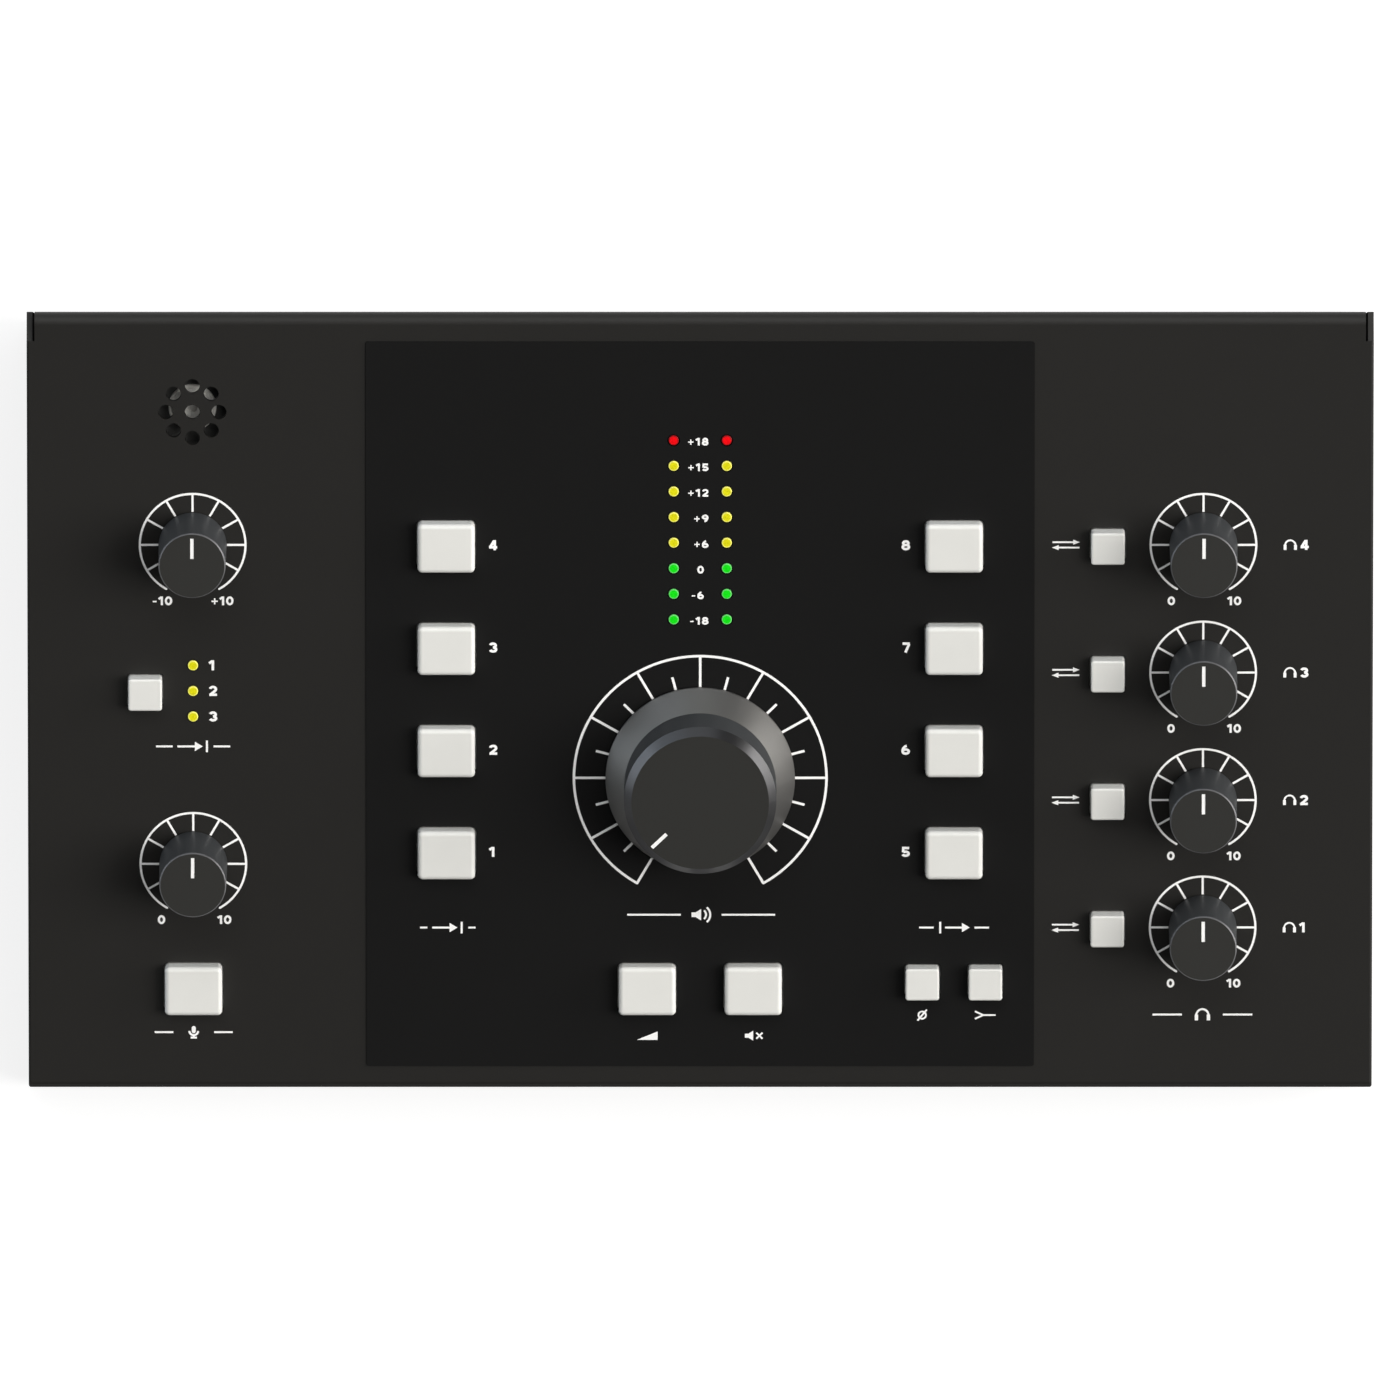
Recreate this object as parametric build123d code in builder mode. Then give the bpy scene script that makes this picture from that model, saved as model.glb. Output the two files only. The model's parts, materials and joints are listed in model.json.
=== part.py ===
"""Desk-top studio monitor controller.

A wedge-shaped steel case with a sloping deck of knobs, push buttons and lamps, and a socket panel set
back under the deck's rear edge. Millimetres, +X to the user's right, +Y to the rear, +Z up. The origin is
on the table, under the middle of the case.
"""

import os
from math import cos, radians, sin, tan

from build123d import *

os.makedirs("parts", exist_ok=True)

# ------------------------------------------------------------------ case
CASE_WIDTH = 279.0
CASE_DEPTH = 160.8
FRONT_HEIGHT = 26.5  # underside of the base plate to the deck's front corner
DECK_SLOPE = 15.5  # degrees
SHEET = 1.2  # steel thickness of cover, base plate and rear panel
FRONT_BEND_INSIDE = 0.3
REAR_BEND_INSIDE = 0.9
EDGE_ROUNDING = 0.5  # ground side edges
REAR_LIP_DROP = 9.0  # rear corner down to the lip's lower edge
RELIEF_SLOT = 0.45  # bend relief at each rear corner, between the side wall and the deck's end
RELIEF_LENGTH = 6.1
RELIEF_TILT = 10.0  # degrees that the side wall's bare edge falls towards the rear
COVER_LIP = 11.0  # inward lips that the base plate is screwed to
BASE_INSET = 0.3
BASE_REAR_INSET = 0.9
PANEL_SETBACK = 9.6  # rear panel's outer face, in from the case's rear edge
PANEL_FLANGE = 10.0
PANEL_BEND = 0.8  # outer radius of the panel's bends
SHEET_GAP = 0.3  # between one sheet's edge and the next sheet

FOOT_HEIGHT = 3.5
FOOT_RADIUS = 6.0
FOOT_TIP_RADIUS = 5.2
FOOT_DIMPLE_RADIUS = 2.2
FOOT_DIMPLE_DEPTH = 1.2
FOOT_INSET_X = 18.0
FOOT_INSET_Y = 17.0

# ------------------------------------------------------------------ fasteners
SCREW_RADIUS = 1.45
SCREW_LENGTH = 6.0
SCREW_HEAD_RADIUS = 2.8
SCREW_HEAD_HEIGHT = 1.9
SCREW_HEAD_ROUNDING = 0.9
SCREW_SOCKET_FLATS = 2.0
SCREW_SOCKET_DEPTH = 1.1
THREAD_GAP = 0.05
SCREW_CLEARANCE = 0.25
SCREW_INSET = 6.0  # screw line in from the case's outer face
CASE_SCREW_SPREAD = 100.0
SIDE_SCREW_YS = (-36.0, 30.0)
STANDOFF_FLATS = 5.5
STANDOFF_HOLE_DEPTH = 5.5

# ------------------------------------------------------------------ boards
BOARD = 1.6
BOARD_DEPTH = 13.0  # deck's top surface down to the control board's component side
BOARD_SIDE_INSET = 9.0
BOARD_FRONT = 9.0  # up the slope from the deck's front corner
BOARD_REAR_MARGIN = 0.7  # past the last row of rotary controls
TONGUE_WIDTH = 24.0  # strip of the board that carries the meter
TONGUE_OVERHANG = 4.7
STANDOFF_SIDE_INSET = 11.5
STANDOFF_ROWS = (14.0, 70.0, 117.0)
INNER_STANDOFFS = ((30.0, 12.5), (30.0, 104.0))

# ------------------------------------------------------------------ deck controls (x, distance up the slope)
LEFT_COLUMN_INSET = 34.3  # left column's axis, in from the case's left face
RIGHT_COLUMN_INSET = 35.2
INPUT_BUTTON_OFFSET = 9.9  # small button beside the input lamps
PHONES_BUTTON_OFFSET = 19.8
SELECT_COLUMN = 52.65  # columns of large buttons, either side of the middle
SELECT_ROWS = (116.8, 94.8, 72.8, 50.8)
PHONES_ROWS = (116.8, 89.35, 61.9, 34.45)
MUTE_OFFSET = 11.0
LOWER_ROW = 21.5
MODE_BUTTONS = (46.1, 59.2)
MODE_ROW = 23.0
MAIN_KNOB_ROW = 66.75
MIC_LEVEL_ROW = 116.8
TALKBACK_LEVEL_ROW = 48.15
INPUT_LAMP_ROW = 85.4
METER_COLUMN = 5.5
METER_PITCH = 5.5
METER_COUNT = 8
METER_REAR_INSET = 27.57  # top lamp row, in from the deck's rear corner
MIC_REAR_INSET = 21.57

FASCIA = 0.25
FASCIA_WIDTH = 138.6
FASCIA_FRONT = 4.6
FASCIA_REAR_INSET = 6.37
FASCIA_CORNER = 0.5

# ------------------------------------------------------------------ push buttons
CAP_GAP = 0.25  # all round the cap in its deck hole
CAP_FLANGE = 0.8  # each side, under the deck
CAP_FLANGE_HEIGHT = 1.1
CAP_STOP_GAP = 0.3
CAP_CEILING = 1.4  # thickness of the cap's roof
SWITCH_TOP = 5.5  # deck's top surface down to the switch housing
SWITCH_FLOOR = 1.0
STEM_GAP = 0.2
STEM_DEPTH = 9.8  # deck's top surface down to the stem's end

LARGE_CAP = (11.9, 10.4)
LARGE_CAP_RISE = 3.65
LARGE_CAP_CORNER = 1.0
LARGE_CAP_ROUNDING = 0.95
LARGE_CAP_WALL = 1.2
LARGE_STEM = 5.0
LARGE_SWITCH_WALL = 2.55

SMALL_CAP = (7.0, 6.8)
SMALL_CAP_RISE = 3.65
SMALL_CAP_CORNER = 0.6
SMALL_CAP_ROUNDING = 0.45
SMALL_CAP_WALL = 0.9
SMALL_STEM = 3.0
SMALL_SWITCH_WALL = 1.6

# ------------------------------------------------------------------ knobs and rotary controls
SHAFT_RADIUS = 3.0
SHAFT_RUNNING_GAP = 0.05
SHAFT_FLAT = 1.5  # depth of the D flat
SHAFT_FLAT_START = 5.5
SHAFT_FOOT = 11.5  # deck's top surface down to the shaft's lower end
POT_FLOOR_GAP = 0.3
HOLE_GAP = 0.2  # round a bush, nose or lens in its sheet hole

POT_BODY = (11.0, 11.0)
POT_TOP = 6.0  # deck's top surface down to the body's top
POT_BUSH_WALL = 0.45
POT_BUSH_RISE = 3.0
ENCODER_BODY = (16.0, 16.0)
ENCODER_TOP = 5.0
ENCODER_BUSH_WALL = 1.45
ENCODER_BUSH_RISE = 3.5
BUSH_ROOM = 1.0  # room round a bush inside the knob

SMALL_KNOB_RADIUS = 7.05
SMALL_KNOB_TOP_RADIUS = 6.95
SMALL_KNOB_RISE = 16.5
SMALL_KNOB_FLOAT = 0.5  # gap under the knob
SMALL_KNOB_CHAMFER = 0.25
SMALL_SHAFT_RISE = 12.8
SMALL_POINTER = (1.5, 5.85)  # from and to, measured from the knob's axis
SMALL_POINTER_WIDTH = 0.72

MAIN_KNOB_RADIUS = 19.65
MAIN_KNOB_BODY_RADIUS = 15.8
MAIN_KNOB_TOP_RADIUS = 14.25
MAIN_KNOB_FLOAT = 0.8
MAIN_KNOB_RIM = 0.6  # upright edge of the skirt
MAIN_SKIRT_RISE = 7.05
MAIN_SHOULDER_RISE = 17.7
MAIN_KNOB_RISE = 19.6
MAIN_SHAFT_RISE = 15.0
MAIN_POINTER = (9.7, 13.9)
MAIN_POINTER_WIDTH = 0.78
MAIN_POINTER_TURN = 134.0  # degrees anticlockwise from straight up the deck
POINTER_DEPTH = 0.25

# ------------------------------------------------------------------ lamps and microphone
LENS_RADIUS = 1.05
LENS_HOLE_GAP = 0.25
LENS_RISE = 0.35
LENS_SHOULDER_WIDTH = 0.55
LENS_SHOULDER_GAP = 0.3
LENS_EDGE = 0.12

MIC_HOLE_RADIUS = 1.55
MIC_RING_RADIUS = 5.53
MIC_RING_COUNT = 8
MIC_CAPSULE_RADIUS = 5.0
MIC_CAPSULE_TOP = 3.7
MIC_CAPSULE_HEIGHT = 5.0
MIC_RIM_WIDTH = 0.55
MIC_GROOVE_WIDTH = 0.3  # round the face, inside the rim
MIC_RIM_DEPTH = 0.35
MIC_INLET_RADIUS = 1.0
MIC_BOOT_WALL = 1.1
MIC_BOOT_FLOOR = 1.0
MIC_BOOT_GRIP = 0.05  # round the capsule in its boot
MIC_MOUTH_MARGIN = 0.25  # boot's mouth past the deck's ring of holes

# ------------------------------------------------------------------ rear sockets
LOWER_SOCKETS = 19.5  # height above the table
UPPER_SOCKETS = 40.5
SOCKET_FIRST = 22.0  # first column either side of the middle
SOCKET_PITCH = 17.5
SOCKET_LENGTH = 26.0  # inside of the rear panel to the connector board
POWER_INSET = 21.5

JACK_BORE_RADIUS = 3.25
JACK_NOSE_WALL = 1.25
JACK_NOSE = 3.5
JACK_BODY = (14.5, 15.0)
JACK_END_WALL = 1.0
JACK_CHAMFER = 0.3
NUT_WALL = 1.2
NUT_HEIGHT = 2.2

AUX_BORE_RADIUS = 1.8
AUX_NOSE_WALL = 1.2
AUX_NOSE = 2.5
AUX_BODY = (8.0, 8.0)
AUX_BORE_DEPTH = 14.5

COAX_BODY = (11.0, 12.5)
COAX_CORE_RADIUS = 3.65
COAX_CORE_RECESS = 0.4  # inside the tip of the shell
COAX_HOLE_RADIUS = 1.6
COAX_HOLE_DEPTH = 12.0
COAX_SHELL_WALL = 0.45
COAX_SHELL_NOSE = 9.0
COAX_FLANGE_WIDTH = 1.65
COAX_FLANGE_HEIGHT = 1.0

OPTICAL_BODY_WALL = 2.4
OPTICAL_BEZEL_WALL = 1.2
OPTICAL_NOSE = 1.2
OPTICAL_MOUTH = 8.4
OPTICAL_KEY = 1.2  # cut corners of the mouth
OPTICAL_DEPTH = 9.0
OPTICAL_POST_RADIUS = 1.5
OPTICAL_POST_LENGTH = 3.4

INLET_BODY = (9.5, 11.0)
INLET_NOSE_WALL = 1.65
INLET_NOSE = 1.5
INLET_BORE_RADIUS = 2.85
INLET_BORE_DEPTH = 10.0
INLET_PIN_RADIUS = 1.0
INLET_PIN_RECESS = 1.0

ROCKER_BEZEL_MARGIN = 1.2
ROCKER_BEZEL_HEIGHT = 1.5
ROCKER_HOUSING_WALL = 1.2
ROCKER_HOUSING_LENGTH = 14.0
ROCKER_PIVOT_DEPTH = 2.0  # behind the panel's outer face
ROCKER_RADIUS = 8.0
ROCKER_WIDTH = 10.4
ROCKER_WAIST = 3.2
ROCKER_BACK = 3.0
ROCKER_TILT = 8.0  # degrees either side of level
ROCKER_GAP = 0.2
ROCKER_WELL = 5.0
ROCKER_PIN_RADIUS = 1.2
ROCKER_PIN_LENGTH = 0.9
ROCKER_PIN_GAP = 0.05

CONNECTOR_BOARD_LOW = 9.0  # heights above the table
CONNECTOR_BOARD_HIGH = 46.5
CONNECTOR_BOARD_INSET = 9.0
PIN_HOLE_RADIUS = 0.6

# ------------------------------------------------------------------ places worked out from the sizes
SLOPE = radians(DECK_SLOPE)
HALF_WIDTH = CASE_WIDTH / 2
HALF_DEPTH = CASE_DEPTH / 2
INNER_HALF_WIDTH = HALF_WIDTH - SHEET
DECK_LENGTH = CASE_DEPTH / cos(SLOPE)
BASE_TOP = FOOT_HEIGHT + SHEET
FRONT_CORNER = FOOT_HEIGHT + FRONT_HEIGHT
REAR_CORNER = FRONT_CORNER + CASE_DEPTH * tan(SLOPE)
PANEL_OUT = HALF_DEPTH - PANEL_SETBACK
PANEL_IN = PANEL_OUT - SHEET
LIP_BOTTOM = REAR_CORNER - REAR_LIP_DROP
RELIEF_WIDTH = SHEET + RELIEF_SLOT
THREAD_RADIUS = SCREW_RADIUS + THREAD_GAP
SCREW_HOLE_RADIUS = SCREW_RADIUS + SCREW_CLEARANCE
PAST = 1.0  # how far a cut runs past the sheet it goes through

SHAFT_BORE_RADIUS = SHAFT_RADIUS + SHAFT_RUNNING_GAP
POT_BUSH_RADIUS = SHAFT_BORE_RADIUS + POT_BUSH_WALL
ENCODER_BUSH_RADIUS = SHAFT_BORE_RADIUS + ENCODER_BUSH_WALL
BOARD_REAR = MIC_LEVEL_ROW + POT_BODY[1] / 2 + BOARD_REAR_MARGIN
JACK_NOSE_RADIUS = JACK_BORE_RADIUS + JACK_NOSE_WALL
NUT_BORE_RADIUS = JACK_NOSE_RADIUS + THREAD_GAP
AUX_NOSE_RADIUS = AUX_BORE_RADIUS + AUX_NOSE_WALL
COAX_SHELL_BORE_RADIUS = COAX_CORE_RADIUS + THREAD_GAP
COAX_SHELL_RADIUS = COAX_SHELL_BORE_RADIUS + COAX_SHELL_WALL
INLET_NOSE_RADIUS = INLET_BORE_RADIUS + INLET_NOSE_WALL
OPTICAL_BEZEL = OPTICAL_MOUTH + 2 * OPTICAL_BEZEL_WALL
OPTICAL_BODY = OPTICAL_MOUTH + 2 * OPTICAL_BODY_WALL
ROCKER_HOUSING = (
    ROCKER_WIDTH + 2 * (ROCKER_GAP + ROCKER_HOUSING_WALL),
    2 * (ROCKER_RADIUS + ROCKER_GAP + ROCKER_HOUSING_WALL),
)

DECK = Plane(
    origin=(0, -HALF_DEPTH, FRONT_CORNER), x_dir=(1, 0, 0), z_dir=(0, -sin(SLOPE), cos(SLOPE))
)
REAR = Plane(origin=(0, PANEL_OUT, 0), x_dir=(1, 0, 0), z_dir=(0, -1, 0))  # normal points into the case

LEFT_COLUMN = -(HALF_WIDTH - LEFT_COLUMN_INSET)
RIGHT_COLUMN = HALF_WIDTH - RIGHT_COLUMN_INSET
INPUT_BUTTON_X = LEFT_COLUMN - INPUT_BUTTON_OFFSET
PHONES_BUTTON_X = RIGHT_COLUMN - PHONES_BUTTON_OFFSET

LARGE_BUTTONS = {
    "cue_button": (-SELECT_COLUMN, SELECT_ROWS[0]),
    "alt_source_button": (-SELECT_COLUMN, SELECT_ROWS[1]),
    "source_2_button": (-SELECT_COLUMN, SELECT_ROWS[2]),
    "source_1_button": (-SELECT_COLUMN, SELECT_ROWS[3]),
    "sub_button": (SELECT_COLUMN, SELECT_ROWS[0]),
    "alt_2_button": (SELECT_COLUMN, SELECT_ROWS[1]),
    "alt_1_button": (SELECT_COLUMN, SELECT_ROWS[2]),
    "main_button": (SELECT_COLUMN, SELECT_ROWS[3]),
    "dim_button": (-MUTE_OFFSET, LOWER_ROW),
    "cut_button": (MUTE_OFFSET, LOWER_ROW),
    "talkback_button": (LEFT_COLUMN, LOWER_ROW),
}
SMALL_BUTTONS = {
    "input_button": (INPUT_BUTTON_X, INPUT_LAMP_ROW),
    "phones_4_button": (PHONES_BUTTON_X, PHONES_ROWS[0]),
    "phones_3_button": (PHONES_BUTTON_X, PHONES_ROWS[1]),
    "phones_2_button": (PHONES_BUTTON_X, PHONES_ROWS[2]),
    "phones_1_button": (PHONES_BUTTON_X, PHONES_ROWS[3]),
    "polarity_button": (MODE_BUTTONS[0], MODE_ROW),
    "mono_button": (MODE_BUTTONS[1], MODE_ROW),
}
SMALL_KNOBS = {
    "mic_gain": (LEFT_COLUMN, MIC_LEVEL_ROW),
    "talkback_level": (LEFT_COLUMN, TALKBACK_LEVEL_ROW),
    "phones_4": (RIGHT_COLUMN, PHONES_ROWS[0]),
    "phones_3": (RIGHT_COLUMN, PHONES_ROWS[1]),
    "phones_2": (RIGHT_COLUMN, PHONES_ROWS[2]),
    "phones_1": (RIGHT_COLUMN, PHONES_ROWS[3]),
}
MAIN_KNOB_AT = (0, MAIN_KNOB_ROW)
MIC_AT = (LEFT_COLUMN, DECK_LENGTH - MIC_REAR_INSET)

METER_TOP = DECK_LENGTH - METER_REAR_INSET
METER_ROWS = [METER_TOP - METER_PITCH * i for i in range(METER_COUNT)]
METER_XS = (-METER_COLUMN, METER_COLUMN)
RED_LAMPS = [(x, METER_ROWS[0]) for x in METER_XS]
YELLOW_LAMPS = [(x, v) for v in METER_ROWS[1:5] for x in METER_XS] + [
    (LEFT_COLUMN, INPUT_LAMP_ROW + METER_PITCH * i) for i in (-1, 0, 1)
]
GREEN_LAMPS = [(x, v) for v in METER_ROWS[5:] for x in METER_XS]
ALL_LAMPS = RED_LAMPS + YELLOW_LAMPS + GREEN_LAMPS

SOCKET_XS = [SOCKET_FIRST + SOCKET_PITCH * i for i in range(5)]
COLUMNS = [-x for x in reversed(SOCKET_XS)] + SOCKET_XS  # left to right, as seen from the front
JACKS = [(x, LOWER_SOCKETS) for x in COLUMNS] + [(x, UPPER_SOCKETS) for x in COLUMNS[3:]]
AUX_AT = (COLUMNS[0], UPPER_SOCKETS)
OPTICAL_AT = (COLUMNS[1], UPPER_SOCKETS)
COAX_AT = (COLUMNS[2], UPPER_SOCKETS)
POWER_X = HALF_WIDTH - POWER_INSET
INLET_AT = (POWER_X, LOWER_SOCKETS)
ROCKER_AT = (POWER_X, UPPER_SOCKETS)

STANDOFF_X = HALF_WIDTH - STANDOFF_SIDE_INSET
STANDOFFS = [(side * STANDOFF_X, v) for side in (-1, 1) for v in STANDOFF_ROWS]
STANDOFFS += [(side * x, v) for side in (-1, 1) for x, v in INNER_STANDOFFS]

SCREW_XS = (-CASE_SCREW_SPREAD, 0, CASE_SCREW_SPREAD)
FRONT_SCREWS = [(x, -HALF_DEPTH + SCREW_INSET) for x in SCREW_XS]
SIDE_SCREWS = [(side * (HALF_WIDTH - SCREW_INSET), y) for side in (-1, 1) for y in SIDE_SCREW_YS]
PANEL_SCREWS = [(x, PANEL_OUT - SCREW_INSET) for x in SCREW_XS]
FEET = [
    (sx * (HALF_WIDTH - FOOT_INSET_X), sy * (HALF_DEPTH - FOOT_INSET_Y))
    for sx in (-1, 1)
    for sy in (-1, 1)
]


def deck_height(y, below=0.0):
    """Height above the table of the deck's top surface, or of a surface that lies below it."""
    return FRONT_CORNER + (y + HALF_DEPTH) * tan(SLOPE) - below / cos(SLOPE)


def on_deck(place, height=0.0, turn=0.0):
    """The deck's plane moved to one control, at a height above the deck's top surface."""
    x, v = place
    return Plane(DECK * Location((x, v, height), (0, 0, turn)))


def save(piece, name):
    """Label the finished piece and write its STEP file."""
    piece.part.label = name
    export_step(piece.part, f"parts/{name}.step")


def circles(places, radius, mode=Mode.ADD):
    """Add equal circles to the open sketch."""
    with Locations(*places):
        Circle(radius, mode=mode)


def rectangles(places, size, corner=0.0, mode=Mode.ADD):
    """Add equal rectangles, with rounded corners if a corner radius is given, to the open sketch."""
    with Locations(*places):
        if corner:
            RectangleRounded(size[0], size[1], corner, mode=mode)
        else:
            Rectangle(size[0], size[1], mode=mode)


def grown(size, gap):
    """A rectangle's size with a gap added all round."""
    return size[0] + 2 * gap, size[1] + 2 * gap


def edges_at(piece, height):
    """Edges of a piece that lie at one height above the deck's top surface."""
    return piece.edges().filter_by(lambda e: abs(DECK.to_local_coords(e.center()).Z - height) < 0.001)


def control_holes(mode):
    """Add every hole of the deck that a control or lamp comes through to the open sketch."""
    rectangles(LARGE_BUTTONS.values(), grown(LARGE_CAP, CAP_GAP), LARGE_CAP_CORNER + CAP_GAP, mode)
    rectangles(SMALL_BUTTONS.values(), grown(SMALL_CAP, CAP_GAP), SMALL_CAP_CORNER + CAP_GAP, mode)
    circles(SMALL_KNOBS.values(), POT_BUSH_RADIUS + HOLE_GAP, mode)
    circles([MAIN_KNOB_AT], ENCODER_BUSH_RADIUS + HOLE_GAP, mode)
    circles(ALL_LAMPS, LENS_RADIUS + LENS_HOLE_GAP, mode)


# ------------------------------------------------------------------ top cover
def wedge_outline(inset, foot_z, front_radius, rear_radius):
    """The case's side outline, moved in by one sheet thickness or none."""
    front, rear = -HALF_DEPTH + inset, HALF_DEPTH - inset
    with BuildLine() as outline:
        skin = FilletPolyline(
            (front, foot_z),
            (front, deck_height(front, inset)),
            (rear, deck_height(rear, inset)),
            (rear, foot_z),
            radius=[front_radius, rear_radius],
        )
        Line(skin @ 1, skin @ 0)
    return outline.edges()


with BuildPart() as top_cover:
    with BuildSketch(Plane.YZ):
        make_face(wedge_outline(0, BASE_TOP, FRONT_BEND_INSIDE + SHEET, REAR_BEND_INSIDE + SHEET))
    extrude(amount=HALF_WIDTH, both=True)
    side_edges = top_cover.edges().filter_by(lambda e: abs(abs(e.center().X) - HALF_WIDTH) < 0.01)
    fillet(side_edges.filter_by(lambda e: e.center().Z > BASE_TOP + 0.01), EDGE_ROUNDING)
    with BuildSketch(Plane.YZ):
        make_face(wedge_outline(SHEET, BASE_TOP - PAST, FRONT_BEND_INSIDE, REAR_BEND_INSIDE))
    extrude(amount=INNER_HALF_WIDTH, both=True, mode=Mode.SUBTRACT)
    # the rear is open below the lip
    with BuildSketch(Plane.XZ.offset(-HALF_DEPTH - PAST)):
        with Locations((0, (BASE_TOP - PAST + LIP_BOTTOM) / 2)):
            Rectangle(2 * INNER_HALF_WIDTH, LIP_BOTTOM - BASE_TOP + PAST)
    extrude(amount=SHEET + 2 * PAST, mode=Mode.SUBTRACT)
    # bend relief at both rear corners: the deck stops short, and the side wall's bare edge shows
    relief_start = HALF_DEPTH - RELIEF_LENGTH
    relief_end = HALF_DEPTH + PAST
    bare_edge = deck_height(relief_start, SHEET)
    bare_fall = (relief_end - relief_start) * tan(radians(RELIEF_TILT))
    for side in (-1, 1):
        with BuildSketch(Plane.YZ.offset(side * (HALF_WIDTH - RELIEF_WIDTH))):
            Polygon(
                (relief_start, bare_edge),
                (relief_start, REAR_CORNER + PAST),
                (relief_end, REAR_CORNER + PAST),
                (relief_end, bare_edge - bare_fall),
                align=None,
            )
        extrude(amount=side * (RELIEF_WIDTH + PAST), mode=Mode.SUBTRACT)
        with BuildSketch(Plane.YZ.offset(side * (HALF_WIDTH - RELIEF_WIDTH))):
            Polygon(
                (relief_start, BASE_TOP + PAST),
                (relief_start, REAR_CORNER + PAST),
                (relief_end, REAR_CORNER + PAST),
                (relief_end, BASE_TOP + PAST),
                align=None,
            )
        extrude(amount=side * (RELIEF_WIDTH - SHEET), mode=Mode.SUBTRACT)
        # the side wall's rear end is cut square, not ground
        with BuildSketch(Plane.YZ.offset(side * (HALF_WIDTH - SHEET))):
            Polygon(
                (relief_start, BASE_TOP),
                (relief_start, bare_edge),
                (HALF_DEPTH, bare_edge - RELIEF_LENGTH * tan(radians(RELIEF_TILT))),
                (HALF_DEPTH, BASE_TOP),
                align=None,
            )
        extrude(amount=side * SHEET)
    # inward lips along the sides and the front, for the base plate's screws
    side_lip_front = -HALF_DEPTH + COVER_LIP + PAST
    side_lip_rear = PANEL_OUT - PANEL_FLANGE - PAST
    with BuildSketch(Plane.XY.offset(BASE_TOP)):
        with Locations((0, -HALF_DEPTH + (SHEET / 2 + COVER_LIP) / 2)):
            Rectangle(CASE_WIDTH - 2 * COVER_LIP, COVER_LIP - SHEET / 2)
        for side in (-1, 1):
            middle = HALF_WIDTH - (SHEET / 2 + COVER_LIP) / 2
            with Locations((side * middle, (side_lip_front + side_lip_rear) / 2)):
                Rectangle(COVER_LIP - SHEET / 2, side_lip_rear - side_lip_front)
    extrude(amount=SHEET)
    with BuildSketch(Plane.XY.offset(BASE_TOP - PAST)):
        circles(FRONT_SCREWS + SIDE_SCREWS, THREAD_RADIUS)
    extrude(amount=SHEET + 2 * PAST, mode=Mode.SUBTRACT)
    with BuildSketch(DECK.offset(PAST)):
        control_holes(Mode.ADD)
        circles([MIC_AT], MIC_HOLE_RADIUS)
        with Locations(MIC_AT):
            with PolarLocations(MIC_RING_RADIUS, MIC_RING_COUNT):
                Circle(MIC_HOLE_RADIUS)
    extrude(amount=-(SHEET + 2 * PAST), mode=Mode.SUBTRACT)
save(top_cover, "top_cover")

with BuildPart() as centre_fascia:
    fascia_rear = DECK_LENGTH - FASCIA_REAR_INSET
    with BuildSketch(DECK):
        with Locations((0, (FASCIA_FRONT + fascia_rear) / 2)):
            RectangleRounded(FASCIA_WIDTH, fascia_rear - FASCIA_FRONT, FASCIA_CORNER)
        control_holes(Mode.SUBTRACT)
    extrude(amount=FASCIA)
save(centre_fascia, "centre_fascia")

# ------------------------------------------------------------------ base plate and feet
with BuildPart() as base_plate:
    plate_front = -HALF_DEPTH + BASE_INSET
    plate_rear = HALF_DEPTH - BASE_REAR_INSET
    with BuildSketch(Plane.XY.offset(FOOT_HEIGHT)):
        with Locations((0, (plate_front + plate_rear) / 2)):
            RectangleRounded(CASE_WIDTH - 2 * BASE_INSET, plate_rear - plate_front, SHEET)
        circles(FRONT_SCREWS + SIDE_SCREWS + PANEL_SCREWS, SCREW_HOLE_RADIUS, Mode.SUBTRACT)
    extrude(amount=SHEET)
save(base_plate, "base_plate")

with BuildPart() as rubber_feet:
    with Locations(*FEET):
        Cone(
            FOOT_TIP_RADIUS,
            FOOT_RADIUS,
            FOOT_HEIGHT,
            align=(Align.CENTER, Align.CENTER, Align.MIN),
        )
    with BuildSketch(Plane.XY):
        circles(FEET, FOOT_DIMPLE_RADIUS)
    extrude(amount=FOOT_DIMPLE_DEPTH, mode=Mode.SUBTRACT)
save(rubber_feet, "rubber_feet")

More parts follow.
